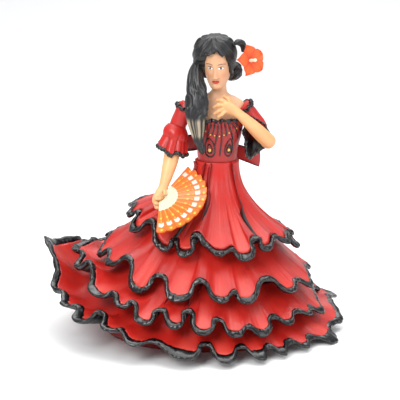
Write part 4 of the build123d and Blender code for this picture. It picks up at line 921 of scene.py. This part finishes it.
# Painted highlight in each iris.
glint = smooth(-np.hypot(side_x - 1.97, z - 1.04), -0.11, -0.07)
skin = lay_on(skin, (0.9, 0.9, 0.9), glint * white)
lid_line = 0.88 + 0.47 * np.sqrt(np.clip(1 - bend ** 2, 0, 1))
lid = smooth(-np.abs(z - lid_line), -0.13, -0.07) * (np.abs(bend) < 1.04)
skin = lay_on(skin, (0.02, 0.014, 0.012), lid)
low_lid = 0.88 - 0.46 * np.sqrt(np.clip(1 - bend ** 2, 0, 1))
skin = lay_on(skin, (0.18, 0.07, 0.05), 0.7 * smooth(-np.abs(z - low_lid), -0.08, -0.03)
              * (np.abs(bend) < 1))
brow_line = 2.02 + 0.34 * (1 - ((side_x - 2.0) / 1.35) ** 2)
brow = (smooth(-np.abs(z - brow_line), -0.17, -0.08)
        * smooth(side_x, 0.65, 0.95) * smooth(-side_x, -3.35, -3.0))
skin = lay_on(skin, (0.05, 0.032, 0.026), 0.9 * brow)
lip_top = -3.05 - 0.16 * (x / 1.0) ** 2 - 0.10 * np.exp(-(x / 0.22) ** 2)
lip_low = -4.22 + 0.42 * (x / 1.15) ** 2
lips = (smooth(lip_top - z, -0.03, 0.05) * smooth(z - lip_low, -0.03, 0.05)
        * smooth(-side_x, -1.25, -1.10))
skin = lay_on(skin, LIP_RED, lips)
skin = lay_on(skin, (0.16, 0.012, 0.012), 0.8 * smooth(-np.abs(z + 3.58), -0.09, -0.03)
              * smooth(-side_x, -1.2, -1.0))
# Painted shade in the nostrils.
skin = lay_on(skin, SKIN_SHADE, 0.6 * mound(side_x, z, 0.42, -2.32, 0.2, 0.12))
grid = in_place(face.reshape(-1, 3)).reshape(face.shape)
grid, skin = both_sealed(grid, skin)
grid_mesh("head", grid, SKIN_PAINT, "skin_paint", ["head"], wrap=True, colour=skin)

# ---- Hair swept back over the crown ----
hair_levels = []
for level, middle_y, half_width, half_depth in SKULL[3:]:
    full = 1.9 * (0.75 + 0.25 * math.sin(math.radians(60 + 12 * level)))
    hair_levels.append((level * 1.04 + 0.75, middle_y + 0.6, half_width + full + 0.8,
                        half_depth + full * 0.9))
hair_levels = [(-6.0, -0.4, 5.0, 5.0), *hair_levels[1:-1],
               (9.55, 1.2, 3.5, 4.3), (9.98, 1.2, 1.9, 2.4), (10.08, 1.2, 0.4, 0.5)]
HAIR_SWEEP = 1.2          # how far the hair is combed over to the dancer's right
HAIR_TABLE = curve(hair_levels, 300)
SKULL_TABLE = curve(SKULL, 300)


def shell_at(table, level, turn, shift):
    """Point on a stack of ovals at given heights and directions."""
    parts = [np.interp(level, table[:, 0], table[:, k]) for k in (1, 2, 3)]
    return np.stack([parts[1] * np.cos(turn) - shift, parts[0] + parts[2] * np.sin(turn),
                     level + 0 * turn], -1)


turn = np.linspace(0, 2 * np.pi, 520, endpoint=False)
from_front = np.abs((np.degrees(turn) - 270 + 180) % 360 - 180)
top_level = hair_levels[-1][0]
hairline = 5.5 - 9.0 * smooth(from_front, 26, 88) + 0.35 * np.sin(from_front / 5.5)
hairline = hairline + 0.9 * np.exp(-((np.degrees(turn) - 282) / 9) ** 2)
hairline = np.maximum(hairline, -3.6)
hairline += 0.25 * np.sin(turn * 19) + 0.12 * np.sin(turn * 43)
share = np.linspace(0, 1, 130)[:, None]
level = hairline + (top_level - hairline) * (1 - (1 - share) ** 1.35)
sweep = turn[None] * 1.0 + 0.10 * level * np.sign(np.cos(turn))[None]
strands = (0.5 * np.sin(sweep * 34 + 1.3 * np.sin(level * 0.7))
           + 0.35 * np.sin(sweep * 61 + 2.0) + 0.25 * np.sin(sweep * 97 + 0.8 * level))
locks = np.sin(sweep * 11 + 0.9 * np.sin(level * 0.8) + 1.0)
fade = smooth(share, 0.0, 0.08) * smooth(-share, -1.0, -0.82)
outer = shell_at(HAIR_TABLE, level, turn[None] + 0 * level, HAIR_SWEEP)
push = unit(outer - np.array((-HAIR_SWEEP, 0.6, 1.5)))
outer = outer + push * ((0.10 * strands + 0.24 * locks - 0.24) * fade)[..., None]
edge = shell_at(SKULL_TABLE, hairline[None], turn[None], 0.0)
edge = edge + unit(edge - np.array((0, 0.4, 1.0))) * 0.12
roll = [edge * (1 - t) + outer[:1] * t for t in (0.0, 0.35, 0.7, 0.9)]
hair = np.concatenate([*roll, outer])
# Painted highlight: grey on the ridges of the strands.
painted_ridge_highlight = smooth(strands + 0.7 * locks, 0.35, 1.25) * (0.35 + 0.65 * ripple(level + turn * 3, 81) ** 2)
painted_ridge_highlight = np.clip(painted_ridge_highlight, 0, 1) * fade
tone = mix(HAIR, HAIR_PAINTED_HIGHLIGHT, 0.62 * painted_ridge_highlight)
tone = np.concatenate([np.broadcast_to(np.array(HAIR), (4, 520, 3)), tone])
placed = in_place(hair.reshape(-1, 3)).reshape(hair.shape)
placed, tone = both_sealed(placed, tone)
grid_mesh("hair_cap", placed, HAIR_PAINT, "hair_paint", ["hair_cap"], wrap=True, colour=tone)


def lock(name, stations, hint, rings, points, strength, worn, nodes):
    """Lock of hair: an oval carried along a line, its surface combed into wavy strands by
    sines of the turn whose phase drifts along it; a painted highlight in grey lies on the ridges."""
    turn = np.linspace(0, 2 * np.pi, points, endpoint=False)[None, :]
    share = np.linspace(0, 1, rings)[:, None]
    drift = 1.9 * np.sin(share * 12) + 0.5 * np.sin(share * 25 + 1)
    comb = (0.55 * np.sin(5 * turn + drift) + 0.45 * np.sin(9 * turn - drift * 1.3 + 1)
            + 0.30 * np.sin(17 * turn + drift * 2))
    body = tube(stations, hint, rings=rings, points=points,
                groove=lambda s, t: 1 + strength * comb - strength)
    # Painted highlight: grey on the ridges of the strands.
    painted_ridge_highlight = smooth(comb, 0.25, 1.1) * (0.4 + 0.6 * np.sin(share * 17 + turn) ** 2)
    tone = mix(HAIR, HAIR_PAINTED_HIGHLIGHT, 0.55 * np.clip(painted_ridge_highlight, 0, 1))
    if worn:
        low, high = worn
        height = body[..., 2]
        patch = smooth(height, low, low + 1.8) * smooth(-height, -high, -high + 1.8)
        patch = patch * smooth(comb, -0.6, 0.5) * smooth(-body[..., 1], 8.2, 9.6)
        tone = mix(tone, HAIR_WORN, 0.6 * patch)
    body, tone = both_sealed(body, tone)
    grid_mesh(name, body, HAIR_PAINT, "hair_paint", nodes, wrap=True, colour=tone)


SIDE_LOCK = ((-6.6, -1.8, 91.0, 1.2, 1.2), (-7.2, -3.4, 88.2, 2.4, 1.8),
             (-7.2, -5.2, 84.8, 3.2, 2.1), (-6.7, -6.9, 81.0, 3.8, 2.2),
             (-6.6, -7.9, 77.2, 4.1, 2.2), (-7.1, -8.6, 73.6, 3.4, 2.0),
             (-6.7, -8.8, 69.8, 2.6, 1.7), (-6.2, -8.7, 66.2, 1.7, 1.3),
             (-5.2, -8.4, 63.0, 1.1, 0.9), (-4.8, -8.2, 61.4, 0.5, 0.4))
NAPE_HAIR = ((4.6, 2.2, 90.0, 1.2, 1.2), (5.8, 2.0, 88.6, 2.3, 2.3), (6.2, 1.8, 86.8, 2.2, 2.4),
             (5.0, 2.2, 85.4, 1.4, 1.6), (3.6, 2.8, 84.8, 0.6, 0.7))
CROWN_CURL = ((5.4, -2.8, 97.0, 0.5, 0.5), (6.6, -2.6, 97.6, 1.1, 1.1),
              (7.9, -2.0, 97.2, 1.2, 1.2), (8.6, -1.4, 95.6, 1.1, 1.1),
              (8.3, -1.2, 94.2, 0.5, 0.5))
lock("side_lock", SIDE_LOCK, (0.1, 1.0, 0.2), 280, 150, 0.095, (66.5, 74.0), ["side_lock"])
lock("nape_hair", NAPE_HAIR, (0, 1, 0), 110, 90, 0.09, None, ["nape_hair"])
lock("crown_curl", CROWN_CURL, (0, 1, 0), 100, 70, 0.09, None, ["crown_curl"])

# ---- Flower behind the ear ----
FLOWER_MIDDLE = np.array((10.6, -4.0, 91.8))
FLOWER_FACE = unit(np.array((0.55, -0.80, 0.18)))
FLOWER_X = unit(np.array((0.80, 0.56, 0.0)) - FLOWER_FACE * (0.55 * 0.80 - 0.80 * 0.56)
                / np.linalg.norm((0.55, -0.80, 0.18)))
FLOWER_Y = np.cross(FLOWER_FACE, FLOWER_X)


def petal(direction, lift, seed):
    """Cupped petal: across u from -1 to 1 and along v from 0 to 1; half width swells as the
    sine of a power of v; the height cups up with u squared and curls over at the tip."""
    u = np.linspace(-1, 1, 46)[None, :]
    v = np.linspace(0, 1, 56)[:, None]
    width = 2.35 * np.sin(np.pi * np.clip(v * 0.93 + 0.05, 0, 1) ** 1.3) ** 0.8
    along = 0.4 + 5.0 * v * (1 - 0.10 * u ** 2) + 0.12 * ripple(u * 3, seed, 3, 1.5)
    across = u * width
    height = (0.15 + lift + 1.5 * v + 0.9 * u ** 2 * v - 1.5 * v ** 4
              + 0.12 * np.cos(u * 9) * v)
    turn = math.radians(direction)
    face_x = along * math.cos(turn) - across * math.sin(turn)
    face_y = along * math.sin(turn) + across * math.cos(turn)
    top = (FLOWER_MIDDLE + face_x[..., None] * FLOWER_X + face_y[..., None] * FLOWER_Y
           + height[..., None] * FLOWER_FACE)
    under = top - FLOWER_FACE * 0.32
    sheet = np.concatenate([top, under[::-1]])
    vein = 0.5 + 0.5 * np.cos(u * 15)
    shade = 0.7 * smooth(-v, -0.55, 0.0) + 0.25 * vein * (1 - v) + 0.6 * smooth(np.abs(u), 0.7, 1)
    tone = mix(FLOWER_ORANGE, FLOWER_DEEP, np.clip(shade, 0, 1) + 0 * u)
    # Painted shade: the underside of each petal is a darker copy of the top.
    tones = np.concatenate([tone, tone[::-1] * 0.75])
    middle = 0.5 * (sheet + sheet[::-1])
    sheet = np.concatenate([middle[:, :1], sheet, middle[:, -1:]], 1)
    tones = np.concatenate([tones[:, :1], tones, tones[:, -1:]], 1)
    return sheet, tones


PETAL_DIRECTIONS = (100, 172, 244, 316, 28)
petals = [petal(direction, 0.16 * (number % 2) + 0.04 * number, 90 + number)
          for number, direction in enumerate(PETAL_DIRECTIONS)]
raw_mesh("flower_petals", *joined([sheet for sheet, _ in petals], close=True), MATT_PAINT,
         "flower_paint", ["flower_petals"],
         colour=np.concatenate([tones.reshape(-1, 3) for _, tones in petals]))
stamen_base = FLOWER_MIDDLE + 0.3 * FLOWER_FACE
stations = [(*(stamen_base + FLOWER_FACE * far), size, size)
            for far, size in ((0.0, 0.6), (1.0, 0.5), (2.0, 0.46), (2.8, 0.52), (3.0, 0.35))]
stamen = tube(stations, (0, 0, 1), rings=80, points=40,
              groove=lambda s, t: 1 + 0.10 * np.sin(6 * t + 40 * s) * smooth(s, 0.4, 0.6))
grid_mesh("flower_stamen", stamen, MATT_PAINT, "cream_paint", ["flower_stamen"], wrap=True,
          colour=plain(stamen, CREAM))

# ---- Core under the flounces and closing plate ----
foot = np.linspace(0, 2 * np.pi, 360, endpoint=False)
lobe = 3.0 * np.clip(np.cos(foot - math.radians(318)), 0, None) ** 6
core_rows = []
for height, width, depth, middle_x, share in (
        (0.05, 33.0, 29.0, -6.0, 1.0), (0.5, 33.3, 29.3, -6.0, 1.0), (1.5, 34.0, 30.3, -6.0, 0.8),
        (3.5, 35.6, 31.6, -6.0, 0.4), (9.0, 32.6, 29.6, -5.6, 0.1), (13.0, 29.5, 26.8, -5.4, 0.0),
        (22.0, 24.0, 21.5, -3.2, 0.0), (32.0, 16.0, 14.0, -1.8, 0.0), (40.0, 10.5, 9.0, -0.8, 0.0),
        (46.0, 6.8, 5.8, -0.1, 0.0), (56.0, 5.0, 4.2, 0.0, 0.0)):
    fold = 0.5 * np.sin(foot * 14 + 0.6 * np.sin(foot * 5)) * min(height / 3.0, 1.0)
    core_rows.append(np.stack([middle_x + (width + lobe * share + fold - 0.5) * np.cos(foot),
                               (depth + lobe * share + fold - 0.5) * np.sin(foot),
                               height + 0 * foot], -1))
core_rows = curve(np.array(core_rows).reshape(len(core_rows), -1), 70).reshape(70, 360, 3)
# Painted shade: the core under the flounces is coloured the deep shade red.
core_grid, core_tone = both_sealed(core_rows, plain(core_rows, RED_PAINTED_SHADE))
grid_mesh("skirt_core", core_grid, SATIN_RED, "red_paint", ["skirt_core"], wrap=True,
          colour=core_tone)

plate_rows = []
for share, height in ((0.0, 0.0), (0.5, 0.0), (0.97, 0.0), (0.99, 0.15), (1.0, 0.45), (1.0, 1.6),
                      (0.99, 1.9), (0.97, 2.0), (0.5, 2.0), (0.0, 2.0)):
    plate_rows.append(np.stack([-6.0 + 28.8 * share * np.cos(foot), 24.8 * share * np.sin(foot),
                                height + 0 * foot], -1))
grid_mesh("base_plate", np.array(plate_rows), BASE_PLASTIC, "base_plastic", ["base_plate"],
          wrap=True)

# ---- Floor, light and camera ----
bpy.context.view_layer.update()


def plain_paint(name, colour, rough):
    """Even studio finish with a faint cloudiness."""
    material = bpy.data.materials.new(name)
    material.use_nodes = True
    tree = material.node_tree
    shader = tree.nodes["Principled BSDF"]
    place = tree.nodes.new("ShaderNodeTexCoord")
    cloud = tree.nodes.new("ShaderNodeTexNoise")
    cloud.inputs["Scale"].default_value = 3.0
    tree.links.new(place.outputs["Object"], cloud.inputs["Vector"])
    ramp = tree.nodes.new("ShaderNodeMix")
    ramp.data_type = "RGBA"
    ramp.inputs["A"].default_value = (*colour, 1)
    ramp.inputs["B"].default_value = (*(c * 0.97 for c in colour), 1)
    tree.links.new(cloud.outputs["Fac"], ramp.inputs["Factor"])
    tree.links.new(ramp.outputs["Result"], shader.inputs["Base Color"])
    shader.inputs["Roughness"].default_value = rough
    return material


across = np.linspace(-1600, 1600, 3)
profile = [(-900, 0.0), (250, 0.0), (420, 0.0)]
bend_turn = np.linspace(0, np.pi / 2, 24)
profile += [(420 + 700 * math.sin(t), 700 - 700 * math.cos(t)) for t in bend_turn[1:]]
profile += [(1120, 1700.0)]
sweep_points = np.array([[(x, y, z) for x in across] for y, z in profile]) * MM
floor_mesh = bpy.data.meshes.new("floor")
faces = patch(*sweep_points.shape[:2], 0)
floor_mesh.from_pydata(sweep_points.reshape(-1, 3).tolist(), [], faces.tolist())
floor_mesh.polygons.foreach_set("use_smooth", np.full(len(floor_mesh.polygons), True))
floor = bpy.data.objects.new("floor", floor_mesh)
floor.data.materials.append(plain_paint("studio floor", (0.93, 0.93, 0.93), 0.75))
bpy.context.scene.collection.objects.link(floor)


def soft_light(name, place, target, size, power, colour=(1, 1, 1)):
    """Square soft light at a place, turned to a target (both in mm)."""
    light = bpy.data.lights.new(name, "AREA")
    light.size = size
    light.energy = power
    light.color = colour
    lamp = bpy.data.objects.new(name, light)
    place, target = Vector(place) * MM, Vector(target) * MM
    lamp.location = place
    lamp.rotation_euler = (target - place).to_track_quat("-Z", "Y").to_euler()
    bpy.context.scene.collection.objects.link(lamp)


MIDDLE = (-5.7, 0.0, 45.0)
soft_light("key", (-260, -420, 420), MIDDLE, 0.30, 2.6)
soft_light("fill", (420, -320, 240), MIDDLE, 0.40, 1.1)
soft_light("top", (0, 60, 560), MIDDLE, 0.6, 2.9)
soft_light("back", (80, 420, 760), MIDDLE, 0.6, 2.4)
world = bpy.data.worlds.new("studio")
bpy.context.scene.world = world
world.use_nodes = True
world.node_tree.nodes["Background"].inputs["Color"].default_value = (0.95, 0.97, 1.0, 1)
world.node_tree.nodes["Background"].inputs["Strength"].default_value = 0.42

camera = bpy.data.objects.new("camera", bpy.data.cameras.new("camera"))
camera.data.lens = 128
camera.data.sensor_width = 36
camera.data.clip_end = 20
camera.location = Vector((-5.7, -465.7, 160.0)) * MM
camera.rotation_euler = (Vector((-5.7, 0, 43.9)) * MM - camera.location).to_track_quat(
    "-Z", "Y").to_euler()
bpy.context.scene.collection.objects.link(camera)
bpy.context.scene.camera = camera
bpy.context.scene.view_settings.view_transform = "Standard"
